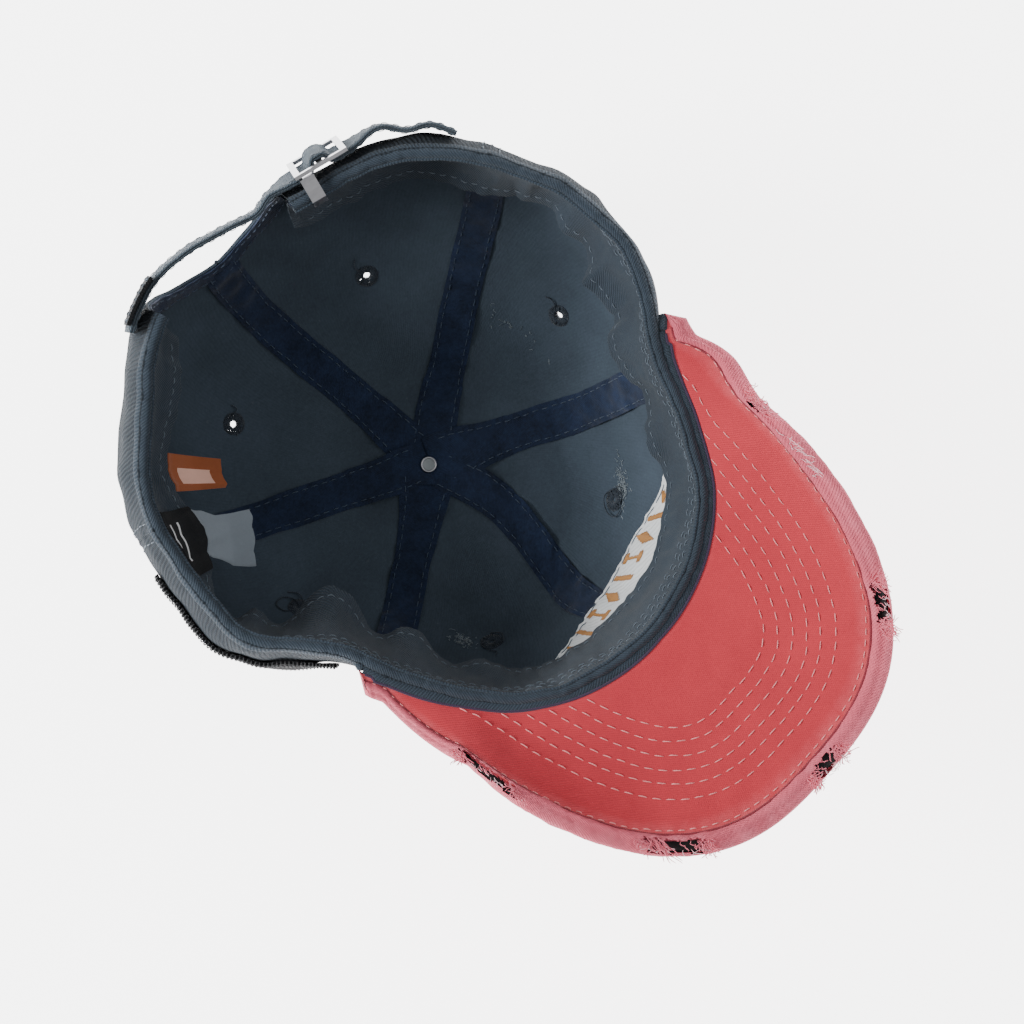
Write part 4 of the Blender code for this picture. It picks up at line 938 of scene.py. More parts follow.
tape_stitches = []
for k, (node, angle, end, over, bow, sway) in enumerate(TAPES):
    total = tape_length(angle, end)
    s = np.linspace(0.0002, total, 170)
    w = np.linspace(-1, 1, 17)
    share = s / total
    middle = bow * np.sin(np.pi * np.clip(share * 1.05, 0, 1)) + sway * np.sin(2 * np.pi * share)
    middle = middle + 0.0004 * lattice(s / 0.02 + k, s * 0 + 3, 61)
    width = TAPE_WIDTH / 2 * (1 + 0.035 * lattice(s / 0.009 + k * 3, s * 0 + 9, 62))
    S, W = np.meshgrid(s, w, indexing="ij")
    side = middle[:, None] + W * width[:, None]
    pucker = 0.0011 * lattice((S + W * 0.003) / 0.0050 + k * 5, W * 1.3 + 7, 63 + k)
    pucker = pucker * (0.35 + 0.65 * np.abs(W))
    pucker = pucker + 0.00035 * lattice(S / 0.013 + k * 3, W * 0.8 + 17, 83 + k)
    swell = 0.00022 * (1 - W ** 2)
    if node == "tape_front":
        swell = swell + 0.0022 * np.exp(-((S - 0.016) / 0.010) ** 2) * np.clip(1.1 - np.abs(W - 0.2), 0, 1)
    lift = over * np.clip(1.6 - S / 0.016, 0, 1)
    rounded = TAPE_THICKNESS * (1 - 0.6 * np.abs(W) ** 8)
    top = TAPE_DEPTH + rounded + np.maximum(pucker, -0.0004) + swell + lift
    base = TAPE_DEPTH - 0.0002 + lift * 0.8
    inner = np.stack([tape_spot(angle, s, side[:, j], top[:, j]) for j in range(w.size)], axis=1)
    outer = np.stack([tape_spot(angle, s, side[:, j], base[:, j]) for j in range(w.size)], axis=1)
    tape = rides(shell("cloth_" + node, outer, inner, S, side, navy), node, finish="navy_tape")
    for row in (2, 14):
        normals = unit(np.cross(np.gradient(inner, axis=0)[4:, row], np.gradient(inner, axis=1)[4:, row]))
        flip = np.sign(np.sum(normals * (inner[4:, row] - outer[4:, row]), axis=1))[:, None]
        tape_stitches += stitch_paths(inner[4:, row], normals * flip, *SMALL_STITCH, 0.0003, 0.0001)
threads("tape_stitches", tape_stitches, 0.00021, navy_thread)


# Sweatband

BAND_END = 180.0 - arch_half_angle()
near, thin = edge_rows(4, BAND_THICKNESS / 2)
between = np.linspace(0.0012, BAND_WIDTH - 0.001, 30)
distances = np.concatenate([-0.0008 + near[::-1], between, BAND_WIDTH - near])
thickness = np.concatenate([thin[::-1], np.ones(between.size), thin])
A, D = np.meshgrid(np.linspace(-BAND_END, BAND_END, 420), distances, indexing="ij")
middle = band_depth(A, D) + BAND_THICKNESS / 2
rises = below_rim(A, D)
band_outer = crown_at(A, rises, middle - BAND_THICKNESS / 2 * thickness)
band_inner = crown_at(A, rises, middle + BAND_THICKNESS / 2 * thickness)
band = shell("cloth_sweatband", band_outer, band_inner, crown_u(A), D, band_cloth)
rides(band, "sweatband", finish="slate_twill")
band_normals = unit(band_inner - band_outer)
band_stitches = []
for row in (6, 9, 12, 30):
    band_stitches += stitch_paths(band_inner[3:-3, row], band_normals[3:-3, row], *BAND_STITCH, 0.00026)
threads("sweatband_stitches", band_stitches, 0.0002, slate_thread)


# Binding of the back opening

turns = np.linspace(-math.pi / 2 + 0.05, math.pi / 2 - 0.05, 90)
Tn, Wd = np.meshgrid(turns, np.linspace(0, 1, 11), indexing="ij")
beyond = Wd * BINDING_WIDTH - 0.0004
ways = (arch_half_angle() + np.degrees(beyond / float(rim_radius(180.0)))) * np.sin(Tn)
rises = below_rim(180.0 - ways, (ARCH_DEPTH + Wd * BINDING_WIDTH - 0.0004) * np.cos(Tn))
wave = 0.0003 * lattice(Tn * 14, Wd * 2, 91)
depth = TAPE_DEPTH + TAPE_THICKNESS * (1 - 0.5 * np.abs(2 * Wd - 1) ** 6) + wave
binding_outer = crown_at(180.0 - ways, rises, TAPE_DEPTH - 0.0001)
binding_inner = crown_at(180.0 - ways, rises, depth)
binding = shell("cloth_opening_binding", binding_outer, binding_inner, Tn * 0.04, Wd * BINDING_WIDTH, navy)
rides(binding, "opening_binding", finish="navy_tape")
normals = unit(binding_inner - binding_outer)
binding_stitches = []
for row in (2, 8):
    binding_stitches += stitch_paths(binding_inner[:, row], normals[:, row])
threads("binding_stitches", binding_stitches, 0.0002, navy_thread)


# Brim: two covers, the board between them and the rolled edge

CORNERS = np.array(((-0.0618, -0.0262), (0.0890, -0.0290)))
CORNER_PLACES = np.array((1.02, 1.04, 1.06))
CORNER_DROP = 0.0015
COVER_LOW = BOARD / 2 + LAYER_GAP * 0.5
COVER_HIGH = COVER_LOW + COVER + 0.0002
LIP = BOARD / 2 + LAYER_GAP + COVER
NOSE = 0.0030


def with_corners(count):
    """Even places along the brim, with a few more that run on to its two corners."""
    return np.concatenate([-CORNER_PLACES[::-1], np.linspace(-1, 1, count), CORNER_PLACES])


def drawn_in(points, spread):
    """The brim's ends run on to the corners beside the crown."""
    t = (np.clip(np.abs(spread) - 1, 0, 1) / 0.06 * 0.93)[:, None, None]
    corner = np.where((spread < 0)[:, None], CORNERS[0], CORNERS[1])[:, None]
    flat = points[..., :2] * (1 - t) + corner * t
    return np.concatenate([flat, points[..., 2:] - CORNER_DROP * t], axis=-1)


spread_places = with_corners(260)
places = np.clip(spread_places, -1, 1)
width = brim_width(places)


def brim_sheet(name, low, high, reach, look, node, finish, rows=90):
    """Layer of the brim between two heights, out to a share of its width at each place."""
    a = np.repeat(places[:, None], rows, axis=1)
    b = reach[:, None] * np.linspace(0, 1, rows)[None, :]
    outer, inner = drawn_in(brim_at(a, b, high), spread_places), drawn_in(brim_at(a, b, low), spread_places)
    at_edge = np.clip(1 - (reach[:, None] - b) * width[:, None] / 0.006, 0, 1)
    at_seam = np.clip(1 - b * width[:, None] / 0.004, 0, 1)
    values = {"worn": at_edge * 0.55 + at_seam * 0.25}
    made = shell(name, outer, inner, inner[..., 0], inner[..., 1], look, marks=values)
    return rides(made, node, finish=finish)


cover_end = brim_crease(places) + 0.0002 / width
under = brim_sheet("cloth_brim_under", COVER_LOW, COVER_HIGH, cover_end, coral, "brim_under", "coral_twill")
top = brim_sheet("cloth_brim_top", -COVER_HIGH, -COVER_LOW, cover_end, coral, "brim_top", "coral_twill", 40)
board_end = 1 - (0.0016 + 0.0004 * lattice(places * 60, places * 0 + 3, 71)) / width
brim_sheet("black_brim_board", -BOARD / 2, BOARD / 2, board_end, board_look, "brim_board", "black_board", 60)

# Rolled edge: its section runs over the lip, round the nose, back below and home inside
OUTER_COUNT = 8 + 11 + 8
WORN_THROUGH = 0.5
roll_spread = with_corners(520)
roll_places = np.clip(roll_spread, -1, 1)
roll_length = (1 - brim_crease(roll_places)) * brim_width(roll_places)
torn = np.zeros_like(roll_places)
for centre, half in ROLL_TEARS:
    torn = np.maximum(torn, np.clip((half - np.abs(roll_places - centre)) / 0.012 + 0.5, 0, 1))


def roll_section(length):
    """Outer and inner line of the rolled edge, as distance from the crease and height."""
    n = min(NOSE, length * 0.45)
    flat = length - n
    turns = np.linspace(math.pi / 2, -math.pi / 2, 11)
    section = []
    for r in np.linspace(0, 1, 9)[:-1]:
        dome = 0.0012 * math.sin(math.pi * min(1.0, r + 0.02)) ** 0.7
        section.append((flat * r, LIP - 0.0003 + dome + 0.0003 * r))
    section += [(flat + n * math.cos(t), LIP * math.sin(t)) for t in turns]
    section += [(flat * r, -LIP - 0.0003 * math.sin(math.pi * r)) for r in np.linspace(1, 0, 9)[1:]]
    section += [(flat * r, -(LIP - COVER)) for r in np.linspace(0, 1, 5)]
    section += [(flat + (n - COVER) * math.cos(t), (LIP - COVER) * math.sin(t)) for t in turns[::-1][1:-1]]
    section += [(flat * r, LIP - COVER) for r in np.linspace(1, 0, 5)]
    return section


def roll_faces(sections):
    """Faces round the rolled edge, left out where it is worn through to the board."""
    columns, count = sections.shape[:2]
    jag = lattice(roll_places * 170, roll_places * 0 + 5, 74)
    faces = []
    for i in range(columns - 1):
        start = 0.34 + 0.14 * jag[i]
        stop = 0.93 + 0.05 * lattice(np.array(roll_places[i] * 90), np.array(3.0), 76)
        for j in range(count):
            upper = j != OUTER_COUNT - 1 and sections[i, j, 1] > 0.0002
            share = sections[i, j, 0] / max(roll_length[i], 1e-6)
            if torn[i] > WORN_THROUGH and upper and start < share < stop:
                continue
            a, b = i * count + j, i * count + (j + 1) % count
            faces.append([a, b, b + count, a + count])
    for first in (0, columns - 1):
        faces.append([first * count + j for j in range(count)])
    return faces


sections = np.array([roll_section(length) for length in roll_length])
far, high = sections[..., 0], sections[..., 1]
A = np.repeat(roll_places[:, None], sections.shape[1], axis=1)
B = brim_crease(roll_places)[:, None] + far / brim_width(roll_places)[:, None]
wave = 0.00032 * lattice(A * 42, far / 0.004 + high / 0.003 + 9, 72)
wave = wave + 0.00014 * lattice(A * 120, high / 0.002 + 30, 73)
wave[:, OUTER_COUNT:] = 0.0
lifted = high + np.sign(high) * wave
roll_points = brim_point(A, B) + brim_normal(A, B) * (lifted + brim_ripple(A, B))[..., None]
roll_points = drawn_in(roll_points, roll_spread)
worn = np.clip(np.exp(-((far - 0.006) / 0.0022) ** 2) * 0.8 + torn[:, None] * 0.8
               + 0.35 * lattice(A * 25, far * 300, 75), 0, 1)
worn[:, OUTER_COUNT:] = 0.0
round_edge = np.broadcast_to(walked_along(sections[260]), A.shape)
roll_uv = np.stack([A * CLOTH_BRIM, round_edge], axis=-1).reshape(-1, 2)
roll = finish_mesh("cloth_brim_roll", roll_points.reshape(-1, 3), roll_faces(sections), pink, roll_uv,
                   {"worn": worn.ravel()})
rides(roll, "brim_roll", finish="pink_edge")

# Six rows of stitching, each a fixed distance inside the crease, and one beside it
STITCH_ROWS = (0.0104, 0.0150, 0.0192, 0.0238, 0.0284, 0.0330)
OFF_CLOTH = 0.0012
grid_places = np.linspace(-1, 1, 500)
GP, GS = np.meshgrid(grid_places, np.linspace(0, 1, 160), indexing="ij")
GB = GS * brim_crease(grid_places)[:, None]
face_points = brim_at(GP, GB, COVER_HIGH)
face_normals = brim_normal(GP, GB)
flat_points, flat_normals = face_points.reshape(-1, 3), face_normals.reshape(-1, 3)
tree = kdtree.KDTree(len(flat_points))
for k, point in enumerate(flat_points):
    tree.insert((point[0], point[1], 0.0), k)
tree.balance()
crease_line = face_points[:, -1, :2]
crease_way = unit(np.gradient(crease_line, axis=0))
inwards = np.stack([-crease_way[:, 1], crease_way[:, 0]], axis=1)
inwards = unit(np.stack([np.convolve(np.pad(inwards[:, c], 30, mode="edge"), np.ones(61) / 61, mode="valid")
                         for c in (0, 1)], axis=1))
brim_stitches = []
for distance in STITCH_ROWS:
    line, normals = [], []
    for x, y in crease_line + inwards * distance:
        near = tree.find_n((x, y, 0.0), 4)
        if near[0][2] > OFF_CLOTH:
            continue
        weights = np.array([1 / (item[2] + 1e-6) for item in near])
        ids = [item[1] for item in near]
        line.append((x, y, float((flat_points[ids, 2] * weights).sum() / weights.sum())))
        normals.append(flat_normals[ids[0]])
    brim_stitches += stitch_paths(np.array(line), np.array(normals), *BRIM_STITCH, 0.00028)
brim_stitches += stitch_paths(face_points[6:-6, -5], face_normals[6:-6, -5], *SMALL_STITCH, 0.00025)
threads("brim_stitches", brim_stitches, 0.00022, coral_thread)

# Join between the brim and the rim, cords that close its two ends, and dark cords of painted shadow along the
# crease and the seam
UPRIGHT = np.array([0, 0, 1.0])
seam_line = brim_at(BRIM_PLACES, 0.0016 / brim_width(BRIM_PLACES), COVER_LOW + COVER + 0.0004)
rim_angles = BRIM_SPREAD * BRIM_PLACES
rim_line = crown_at(rim_angles, below_rim(rim_angles, 0.0010), 0.0016)
t = np.linspace(0, 1, 7)[None, :, None]
narrow = np.clip((1.0 - np.abs(BRIM_PLACES)) / 0.05, 0.75, 1)[:, None, None]
bridge = rim_line[:, None] * (1 - t * narrow) + seam_line[:, None] * t * narrow
bridge = bridge + UPRIGHT * 0.0008 * np.sin(math.pi * t)
rides(shell("cloth_brim_join", bridge - UPRIGHT * 0.0006, bridge, crown_u(rim_angles)[:, None],
            t[..., 0] * 0.004, band_cloth))
end_paths = []
for end, corner in ((0, CORNERS[0]), (-1, CORNERS[1])):
    start = (rim_line[end] + seam_line[end]) / 2
    finish = np.array([*corner, start[2] - 0.0030])
    end_paths.append(start + (finish - start) * np.linspace(0, 0.9, 8)[:, None])
threads("brim_end_cords", end_paths, 0.0018, band_cloth, sides=10)
# Dark coral cord along the brim's crease: a painted shadow where the rolled edge meets the cover
crease_shadow_look = thread("crease_shadow_thread", rgb(128, 34, 48), 0.9)
# Dark cord where the join meets the brim: a painted shadow in the gap between brim and crown
seam_shadow_look = thread("seam_shadow_thread", rgb(52, 34, 62), 0.8)
crease_shadow_path = brim_at(BRIM_PLACES, brim_crease(BRIM_PLACES), LIP - 0.0001)
threads("brim_crease_shadow_line", [crease_shadow_path], 0.00042, crease_shadow_look, sides=6, taper=False)
threads("brim_seam_shadow_cord", [bridge[2:-2, -1]], 0.0005, seam_shadow_look, sides=8, taper=False)


# Frayed threads: they start on the rolled edge and point outwards

def brim_spot(place, across, lift=None):
    place, across = np.array([place]), np.array([across])
    return (brim_point(place, across) if lift is None else brim_at(place, across, lift))[0]


def clump(centre, half, count, length, shares=(0.30, 0.62), spread=0.5):
    """Loose threads round a place, between two shares of the rolled edge's width."""
    paths = []
    for k in range(count):
        place = rng.uniform(centre - half, centre + half)
        share = rng.uniform(*shares)
        crease = brim_crease(np.array(place))
        start = brim_spot(place, crease + share * (1 - crease), LIP + 0.0002)
        outer = unit(brim_spot(place, 1.0) - brim_spot(place, 0.9))
        along = unit(brim_spot(place + 0.01, 1.0) - brim_spot(place - 0.01, 1.0))
        reach = length * rng.uniform(0.45, 1.15)
        way = unit(outer + along * rng.normal(0, spread))
        bend = along * rng.normal(0, 0.45) + UPRIGHT * rng.normal(0.25, 0.3)
        t = np.linspace(0, 1, 9)[:, None]
        rise = UPRIGHT * (0.0012 * np.sin(t * math.pi * 0.8) - 0.0006 * t ** 2)
        curl = along * 0.0004 * np.sin(t * rng.uniform(4, 9) + rng.uniform(0, 6))
        paths.append(start + way * reach * t + bend * reach * 0.35 * t ** 2 + rise + curl)
    return paths


# Threads round the tears, then a corner that frays at the tip, and loops on the right side
dark_pink, light_pink = [], []
for centre, half in ROLL_TEARS:
    dark_pink += clump(centre, half, 9, 0.0026)
    light_pink += clump(centre, half * 1.15, 16, 0.0024, (0.75, 1.0), 1.2)
    dark_pink += clump(centre - half, 0.010, 40, 0.0036, (0.35, 1.0), 0.9)
    dark_pink += clump(centre + half, 0.010, 40, 0.0036, (0.35, 1.0), 0.9)
dark_pink += clump(0.30, 0.02, 30, 0.0040, (0.5, 1.0), 0.8)
dark_pink += clump(0.79, 0.025, 30, 0.0030, (0.3, 1.0), 0.9)
light_pink += clump(0.66, 0.06, 24, 0.0050, (0.1, 0.8), 1.8)
dark_pink += clump(-0.36, 0.012, 30, 0.0075, (0.0, 0.6), 0.35)
threads("fray_threads", dark_pink, 0.00013, pink_thread, sides=4)
threads("fray_fuzz", light_pink, 0.00010, pale_thread, sides=4)


# Strap with its tab and stitches

def to_eye(points):
    return unit(np.array(EYE) - points)


EDGE_ROUND = 0.0008
ways = np.concatenate([np.linspace(-22, 19, 100), np.linspace(19.4, 33.5, 110), np.linspace(34, 53, 60)])
middle, out, up = strap_middle(ways)
calm = 0.75 * (1 - np.exp(-((ways - BUCKLE_CENTRE) / 10.0) ** 6))[:, None]
up = unit(up * (1 - calm) + to_eye(middle) * calm)
across = np.cross(unit(np.gradient(middle, axis=0)), up)
across = unit(across) * np.sign(np.sum(across * out, axis=-1))[:, None]
thick, half_high = STRAP_THICKNESS / 2, STRAP_WIDTH / 2
edge = [(thick * math.cos(t), half_high - EDGE_ROUND + EDGE_ROUND * abs(math.sin(t)))
        for t in np.linspace(0, math.pi, 9)]
edge[4] = (0.0, half_high - 0.00055)
sides = np.linspace(half_high - 0.002, -half_high + 0.002, 9)
profile = np.array(edge + [(-thick, y) for y in sides]
                   + [(-x, -y) for x, y in edge] + [(thick, y) for y in sides[::-1]])
wave = 0.0004 * lattice(ways / 3.0, ways * 0 + 2, 101)
grain = 0.00012 * lattice(ways[:, None] * 0.9, profile[None, :, 1] * 500, 102)
points = (middle[:, None] + across[:, None] * (profile[None, :, :1] + grain[..., None])
          + up[:, None] * (profile[None, :, 1:] + wave[:, None, None]))
n = len(profile)
faces = [[i * n + j, i * n + (j + 1) % n, (i + 1) * n + (j + 1) % n, (i + 1) * n + j]
         for i in range(len(ways) - 1) for j in range(n)]
faces += [list(range(n)), [(len(ways) - 1) * n + j for j in reversed(range(n))]]
run = walked_along(middle)
uv = np.stack([np.repeat(run, n), np.tile(walked_along(profile), len(ways))], axis=1)
strap = finish_mesh("cloth_strap", points.reshape(-1, 3), faces, strap_cloth, uv)
rides(strap, "strap", finish="slate_twill")
strap_stitches = []
for side in (1, -1):
    for y in (half_high - 0.0022, -half_high + 0.0022):
        line = middle + across * side * (thick + 0.00005) + up * (y + wave[:, None])
        strap_stitches += stitch_paths(line, across * side, *SMALL_STITCH)
threads("strap_stitches", strap_stitches, 0.00012, slate_thread, sides=4)

TAB_THICKNESS = 0.0012
TAB_LENGTH = 0.012
tab_ways = np.linspace(-21.0, -12.1, 24)
middle, out, up = strap_middle(tab_ways)
up = unit(up * 0.25 + to_eye(middle) * 0.75)
share = np.linspace(0, 1, 14)
heights = STRAP_WIDTH / 2 + 0.0015 - TAB_LENGTH * share
tab_inner = middle + out * (STRAP_THICKNESS / 2 + PIECE_GAP)
tab_inner = tab_inner[:, None] + up[:, None] * heights[None, :, None]
tab_outer = tab_inner + out[:, None] * TAB_THICKNESS
tab = shell("cloth_side_tab", tab_outer, tab_inner, tab_ways[:, None] * 0.0016, share[None, :] * TAB_LENGTH,
            black_cloth)
rides(tab, "side_tab", finish="dark_cloth")
tab_stitches = []
for j in (2, 11):
    tab_stitches += stitch_paths(tab_outer[:, j], np.repeat(out[:1], 24, axis=0), *TAB_STITCH)
for i in (2, 21):
    tab_stitches += stitch_paths(tab_outer[i], np.repeat(out[i:i + 1], 14, axis=0), *TAB_STITCH)
threads("side_tab_stitches", tab_stitches, 0.00018, slate_thread)


# Labels: two hang from the sweatband's free edge and one lies on it

LABEL_DROP = 0.0162
LABEL_REACH = 0.0151
LABEL_BEND = np.array(((0.0, 0.0), (0.10, 0.04), (0.38, 0.27), (0.69, 0.60), (1.0, 1.0)))


def label(name, near, far, look, node, finish, curl):
    """Label from two angles at the sweatband's edge to two angles at its free end."""
    S, T = np.meshgrid(np.linspace(0, 1, 22), np.linspace(0, 1, 26), indexing="ij")
    a = (near[0] + (near[1] - near[0]) * S) * (1 - T) + (far[0] + (far[1] - far[0]) * S) * T
    stand = band_depth(a, BAND_WIDTH * 0.97) + BAND_THICKNESS + 0.0002
    stand = stand + np.interp(T, LABEL_BEND[:, 0], LABEL_BEND[:, 1]) * LABEL_REACH
    stand = stand + curl * np.sin(S * math.pi) * T
    rises = below_rim(a, BAND_WIDTH + 0.0008 + T * LABEL_DROP)
    outer, inner = crown_at(a, rises, stand), crown_at(a, rises, stand + 0.0004)
    rides(shell(name, outer, inner, S * 0.013, T * 0.02, look), node, finish=finish)
    return outer, inner


def printed(name, outer, inner, box, look):
    """Thin printed shape on a label, as a patch of its own grid."""
    i0, i1, j0, j1 = box
    face = inner[i0:i1, j0:j1]
    lift = unit(face - outer[i0:i1, j0:j1]) * 0.00006
    rides(shell(name, face + lift, face + lift * 2, 0.0, 0.0, look))


faces = label("cloth_size_label", (-138, -129), (-138, -129), brown_cloth, "size_label", "brown_label",
              0.0006)
printed("size_label_print", *faces, (7, 17, 5, 21), print_pale)
label("cloth_care_label", (-122, -111), (-116, -104), grey_cloth, "care_label", "grey_label", 0.0010)
A, D = np.meshgrid(np.linspace(-123, -108, 40), np.linspace(0.08, 0.94, 30) * BAND_WIDTH, indexing="ij")
depth = band_depth(A, D) + BAND_THICKNESS + 1.3 * LAYER_GAP
faces = [crown_at(A, below_rim(A, D), depth), crown_at(A, below_rim(A, D), depth + 0.0006)]
rides(shell("cloth_woven_label", *faces, crown_u(A), D, black_cloth), "woven_label", finish="dark_cloth")
printed("woven_label_stripe_1", *faces, (8, 32, 11, 13), print_white)
printed("woven_label_stripe_2", *faces, (8, 32, 16, 18), print_white)


# White backing with the wrong side of generic embroidery, and raised lozenges outside

BACKING_START = 0.006
GOLD_STEPS = np.linspace(0, 1, 26)
across_angles = np.linspace(-27, 43, 130)
share = np.clip(np.abs(turn_between(across_angles, 8.0)) / 35, 0, 1)
lowest = BACKING_DEPTH - (BACKING_DEPTH - 0.9 * BAND_WIDTH) * np.clip((share - 0.25) / 0.75, 0, 1) ** 1.3
lowest = lowest + 0.0085 * (1 - share) ** 0.7
lowest = lowest + 0.0009 * lattice(across_angles * 0.7, across_angles * 0 + 4, 111)
A, G = np.meshgrid(across_angles, np.linspace(0, 1, 44), indexing="ij")
D = BACKING_START + (lowest[:, None] - BACKING_START) * G
rises = below_rim(A, D)
fuzz = 0.00022 * np.abs(lattice(A * 1.6, D / 0.0012, 112))
faces = [crown_at(A, rises, TAPE_DEPTH - 0.0002), crown_at(A, rises, TAPE_DEPTH + 0.0005 + fuzz)]
rides(shell("cloth_embroidery_backing", *faces, crown_u(A), D, backing_cloth), "embroidery_backing",
      finish="white_backing")


def motif_half(kind, step):
    """Half width in degrees of the generic shapes: a bar with feet, a lozenge and a plain bar."""
    if kind == 1:
        return 1.5 * (1 - abs(2 * step - 1)) + 0.25
    return 0.75 if kind == 2 else 0.45 + 1.1 * (abs(step - 0.5) > 0.33)


gold, outlines = [], []
for k, a in enumerate(np.arange(-19, 37, 5.6)):
    kind = k % 3
    reach = float(np.interp(a, across_angles, lowest)) - 0.0035
    tall = min(0.0125, reach - 0.9 * BAND_WIDTH)
    for step in GOLD_STEPS:
        half = motif_half(kind, step)
        left = a + (0 if kind == 1 else 1.8 * (step - 0.5))
        ends = np.linspace(left - half + rng.normal(0, 0.1), left + half + rng.normal(0, 0.1), 4)
        gold.append(crown_at(ends, below_rim(ends, reach - tall * step), TAPE_DEPTH + 0.0009))
    ends = np.linspace(a - 2.3, a + 2.3, 9)
    edge = np.interp(ends, across_angles, lowest) - 0.0022
    outlines.append(crown_at(ends, below_rim(ends, edge), TAPE_DEPTH + 0.0008))
threads("backing_outline_stitches", outlines, 0.00016, slate_thread, sides=4)
threads("gold_stitches_inside", gold, 0.00020, gold_thread, sides=4)
for number, middle_angle in enumerate((-24, -12, 0, 12, 24), start=1):
    half = math.degrees(0.0056 / float(rim_radius(middle_angle)))
    satin = []
    for x in np.linspace(-1, 1, 44):
        tall = 0.011 * (1 - 0.88 * abs(x))
        a = middle_angle + half * x
        hump = 0.0004 + 0.0009 * (1 - np.linspace(-1, 1, 9) ** 4) * (1 - 0.5 * abs(x))
        satin.append(crown_at(a, below_rim(a, 0.034 + np.linspace(-tall, tall, 9)), -LAYER_GAP - hump))
    motif = tubes("satin_motif_%d" % number, satin, [0.00022] * len(satin), gold_thread)
    rides(motif, "front_motif_%d" % number, finish="gold_thread")

# Dark patch with an overlocked, saw-toothed edge
PATCH_TOP = 0.0190
PATCH_HEIGHT = 0.0225
PATCH_DEPTH = -1.2 * LAYER_GAP
PATCH_THICKNESS = 0.0011
OVERLOCK_REACH = np.array([-0.0012, -0.0004, 0.0008, 0.0022, 0.0030])
OVERLOCK_SINK = np.array([-0.0008, 0.0003, 0.0005, 0.0004, 0.0])
A, G = np.meshgrid(np.linspace(-113, -72, 160), np.linspace(0, 1, 50), indexing="ij")
tooth = 0.0008 * np.abs(((A + 113) * 1.4) % 2 - 1)
D = PATCH_TOP - tooth + (PATCH_HEIGHT + 2 * tooth) * G
rises = below_rim(A, D)
faces = [crown_at(A, rises, PATCH_DEPTH - PATCH_THICKNESS - 0.0001 * lattice(A * 3, D * 900, 121)),
         crown_at(A, rises, PATCH_DEPTH)]
rides(shell("cloth_side_patch", *faces, crown_u(A), D, black_cloth), "side_patch", finish="dark_cloth")
overlock = []
for border, way in ((PATCH_TOP, 1), (PATCH_TOP + PATCH_HEIGHT, -1)):
    for a in np.arange(-112.5, -72.3, 0.75):
        turn = a + np.linspace(0, 0.5, 5)
        rises = below_rim(turn, border + way * OVERLOCK_REACH)
        overlock.append(crown_at(turn, rises, PATCH_DEPTH - PATCH_THICKNESS - OVERLOCK_SINK))
threads("side_patch_overlock", overlock, 0.0003, black_thread)


# Stitch lines outside the crown, cords in its seams and the small fold over the rim

SEAM_END = 0.128
outside = []
for seam in SEAMS:
    for off in (-0.0030, 0.0030):
        rises = below_rim(seam, np.linspace(0.004 if abs(seam) != 180 else ARCH_DEPTH + 0.002, SEAM_END, 120))
        plan = np.maximum(np.linalg.norm(crown_point(seam, rises)[..., :2], axis=-1), 0.004)
        turn = seam + np.degrees(off / plan)
        outside += stitch_paths(crown_at(turn, rises, 0.0), crown_normal(turn, rises), *CROWN_STITCH)
rim_angles = np.linspace(-162, 162, 500)
rises = below_rim(rim_angles, 0.0025)
outside += stitch_paths(crown_at(rim_angles, rises, 0.0), crown_normal(rim_angles, rises))
threads("crown_stitches", outside, 0.00021, slate_thread)
seam_paths = []
for seam in SEAMS:
    rises = below_rim(seam, np.linspace(0.0 if abs(seam) != 180 else ARCH_DEPTH, SEAM_END, 90))
    seam_paths.append(crown_at(seam, rises, 0.0004))
threads("crown_seam_cords", seam_paths, 0.0008, slate, sides=6, taper=False)

A, T = np.meshgrid(np.linspace(-BAND_END, BAND_END, 560), np.linspace(0, 1, 12), indexing="ij")
far = band_depth(A, 0.0016) + BAND_THICKNESS + 0.0002
depth = -0.0005 + (far + 0.0005) * T
below = 0.0024 - (0.0034 + 0.0003 * lattice(A * 0.8, T * 0, 131)) * np.sin(math.pi * T) ** 0.6
fold_top = crown_at(A, below_rim(A, below), depth)
fold_low = crown_at(A, below_rim(A, below + 0.0006), depth * 0.92 + 0.0001)
rides(shell("cloth_rim_fold", fold_low, fold_top, crown_u(A), T * 0.006, band_cloth))
fold_stitches = stitch_paths(fold_top[4:-4, 9], unit(fold_top[4:-4, 9] - fold_low[4:-4, 9]), *FOLD_STITCH)
threads("rim_fold_stitches", fold_stitches, 0.0002, black_thread)

# Lint on the lining: angle, distance from the button, spread in degrees and count
LINT = ((34.0, 0.0785, 3.2, 150), (-38.0, 0.0715, 2.0, 70), (12.0, 0.030, 5.0, 14), (100.0, 0.06, 9.0, 20))
lint = []
for angle, reach, wide, count in LINT:
    for k in range(count):
        a = angle + rng.normal(0, wide) + np.cumsum(rng.normal(0, 0.35, 6))
        rises = from_button(angle, reach + rng.normal(0, 0.0018) + np.cumsum(rng.normal(0, 0.0004, 6)))
        lint.append(crown_at(a, rises, WALL + 0.0002 + 0.0003 * rng.random(6)))
threads("lining_lint", lint, 0.00006, thread("lint_thread", rgb(150, 160, 166), 0.9), sides=3)


# Metal and the cloth-covered button

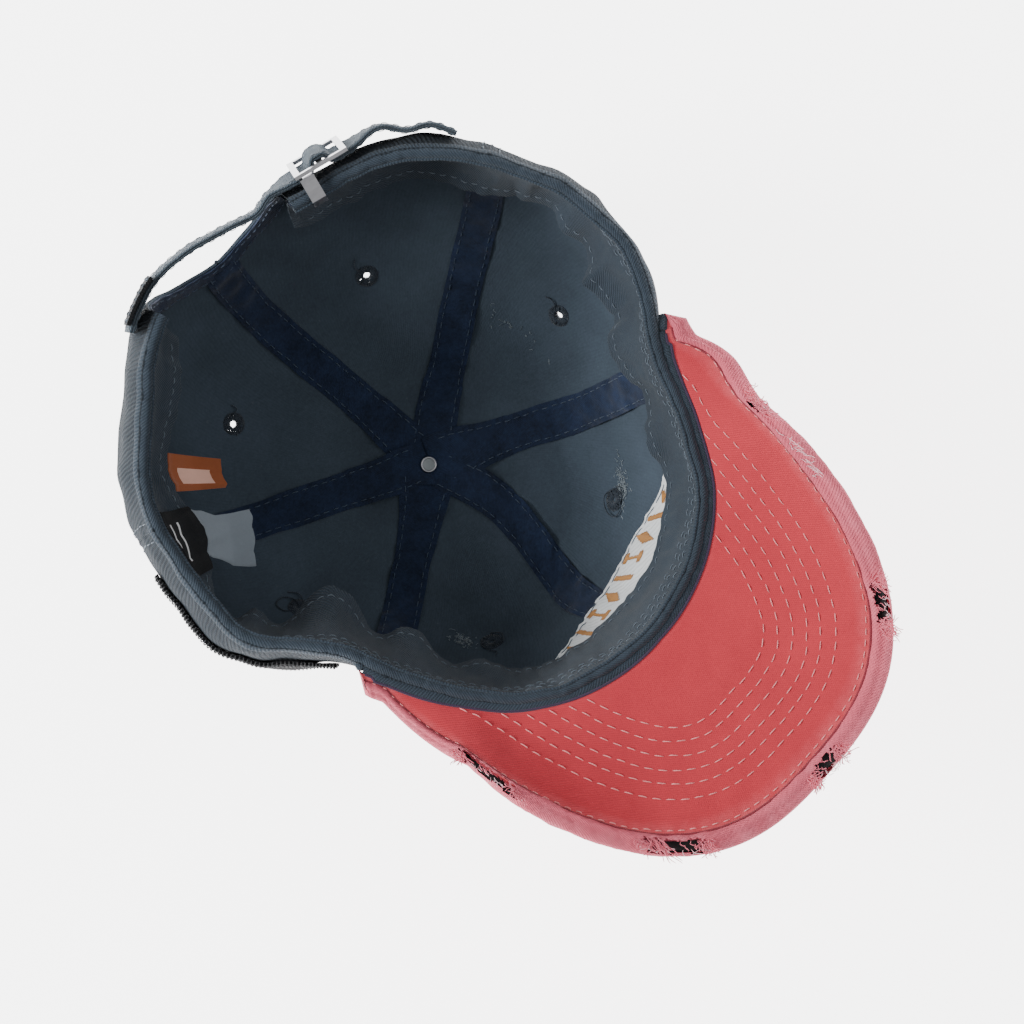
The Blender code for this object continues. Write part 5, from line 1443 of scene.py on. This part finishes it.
turn = np.linspace(0, 2 * math.pi, 60)
ring_radius = (rivet_high[0] - rivet_low[0]) / 2 - 0.0004
ring_level = np.full(turn.size, rivet_high[2] - 0.0001)
ring = np.stack([ring_radius * np.cos(turn), ring_radius * np.sin(turn), ring_level], axis=1)
threads("rivet_rim", [ring], 0.00045, steel, sides=8, taper=False)
rivet_look = plain("rivet_face", (0.20, 0.22, 0.23, 1.0), 0.42, metal=0.85, tone=0.3)
button_look = plain("button_cloth", SLATE, 0.9, scale=1500.0, relief=0.0001, tone=0.3)
HARD_PIECES = (("rivet", rivet_look, 0.00025, 35), ("buckle", steel, 0.00025, 35),
               ("buckle_clip", steel, 0.00025, 35), ("button", button_look, 0.0006, 12))
for node, look, rounding, sharpest in HARD_PIECES:
    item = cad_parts[node]
    item.data.materials.clear()
    item.data.materials.append(look)
    soft = item.modifiers.new("rounded", "BEVEL")
    soft.width = rounding
    soft.segments = 3
    soft.limit_method = "ANGLE"
    soft.angle_limit = math.radians(sharpest)


# Floor, light and camera

FLOOR_SIZE = 30.0
FLOOR_GLOW = 4.5
SKY_STRENGTH = 0.62
CAMERA_LENS = 65.0
SENSOR_WIDTH = 36.0
# Name, place, size and power
LAMPS = (("key", (-1.0, 1.1, 1.0), 0.7, 46.0), ("fill", (0.9, -0.8, 1.3), 1.4, 9.0))
mesh = bpy.data.meshes.new("floor")
corners = [(x * FLOOR_SIZE, y * FLOOR_SIZE, 0) for x, y in ((-1, -1), (1, -1), (1, 1), (-1, 1))]
mesh.from_pydata(corners, [], [(0, 1, 2, 3)])
floor = bpy.data.objects.new("floor", mesh)
bpy.context.collection.objects.link(floor)
floor.location.z = -0.0004
paper = bpy.data.materials.new("floor_paper")
paper.use_nodes = True
shader = paper.node_tree.nodes["Principled BSDF"]
shader.inputs["Base Color"].default_value = PAPER
shader.inputs["Roughness"].default_value = 0.9
shader.inputs["Emission Color"].default_value = WHITE
shader.inputs["Emission Strength"].default_value = FLOOR_GLOW
mesh.materials.append(paper)

world = bpy.data.worlds.new("studio")
bpy.context.scene.world = world
world.use_nodes = True
world.node_tree.nodes["Background"].inputs["Color"].default_value = WHITE
world.node_tree.nodes["Background"].inputs["Strength"].default_value = SKY_STRENGTH
for name, place, size, power in LAMPS:
    data = bpy.data.lights.new(name, "AREA")
    data.size = size
    data.energy = power
    lamp = bpy.data.objects.new(name, data)
    bpy.context.collection.objects.link(lamp)
    lamp.location = place
    lamp.rotation_mode = "QUATERNION"
    lamp.rotation_quaternion = (-Vector(place)).to_track_quat("-Z", "Y")

camera_data = bpy.data.cameras.new("camera")
camera_data.lens = CAMERA_LENS
camera_data.sensor_width = SENSOR_WIDTH
camera = bpy.data.objects.new("camera", camera_data)
bpy.context.collection.objects.link(camera)
right, above = Vector((0.66, -0.75, 0)).normalized(), Vector((0.75, 0.66, 0)).normalized()
spot = Vector(EYE) + Vector(SHIFT)
camera.matrix_world = Matrix(((right.x, above.x, 0, spot.x), (right.y, above.y, 0, spot.y),
                              (0, 0, 1, spot.z), (0, 0, 0, 1)))
bpy.context.scene.camera = camera
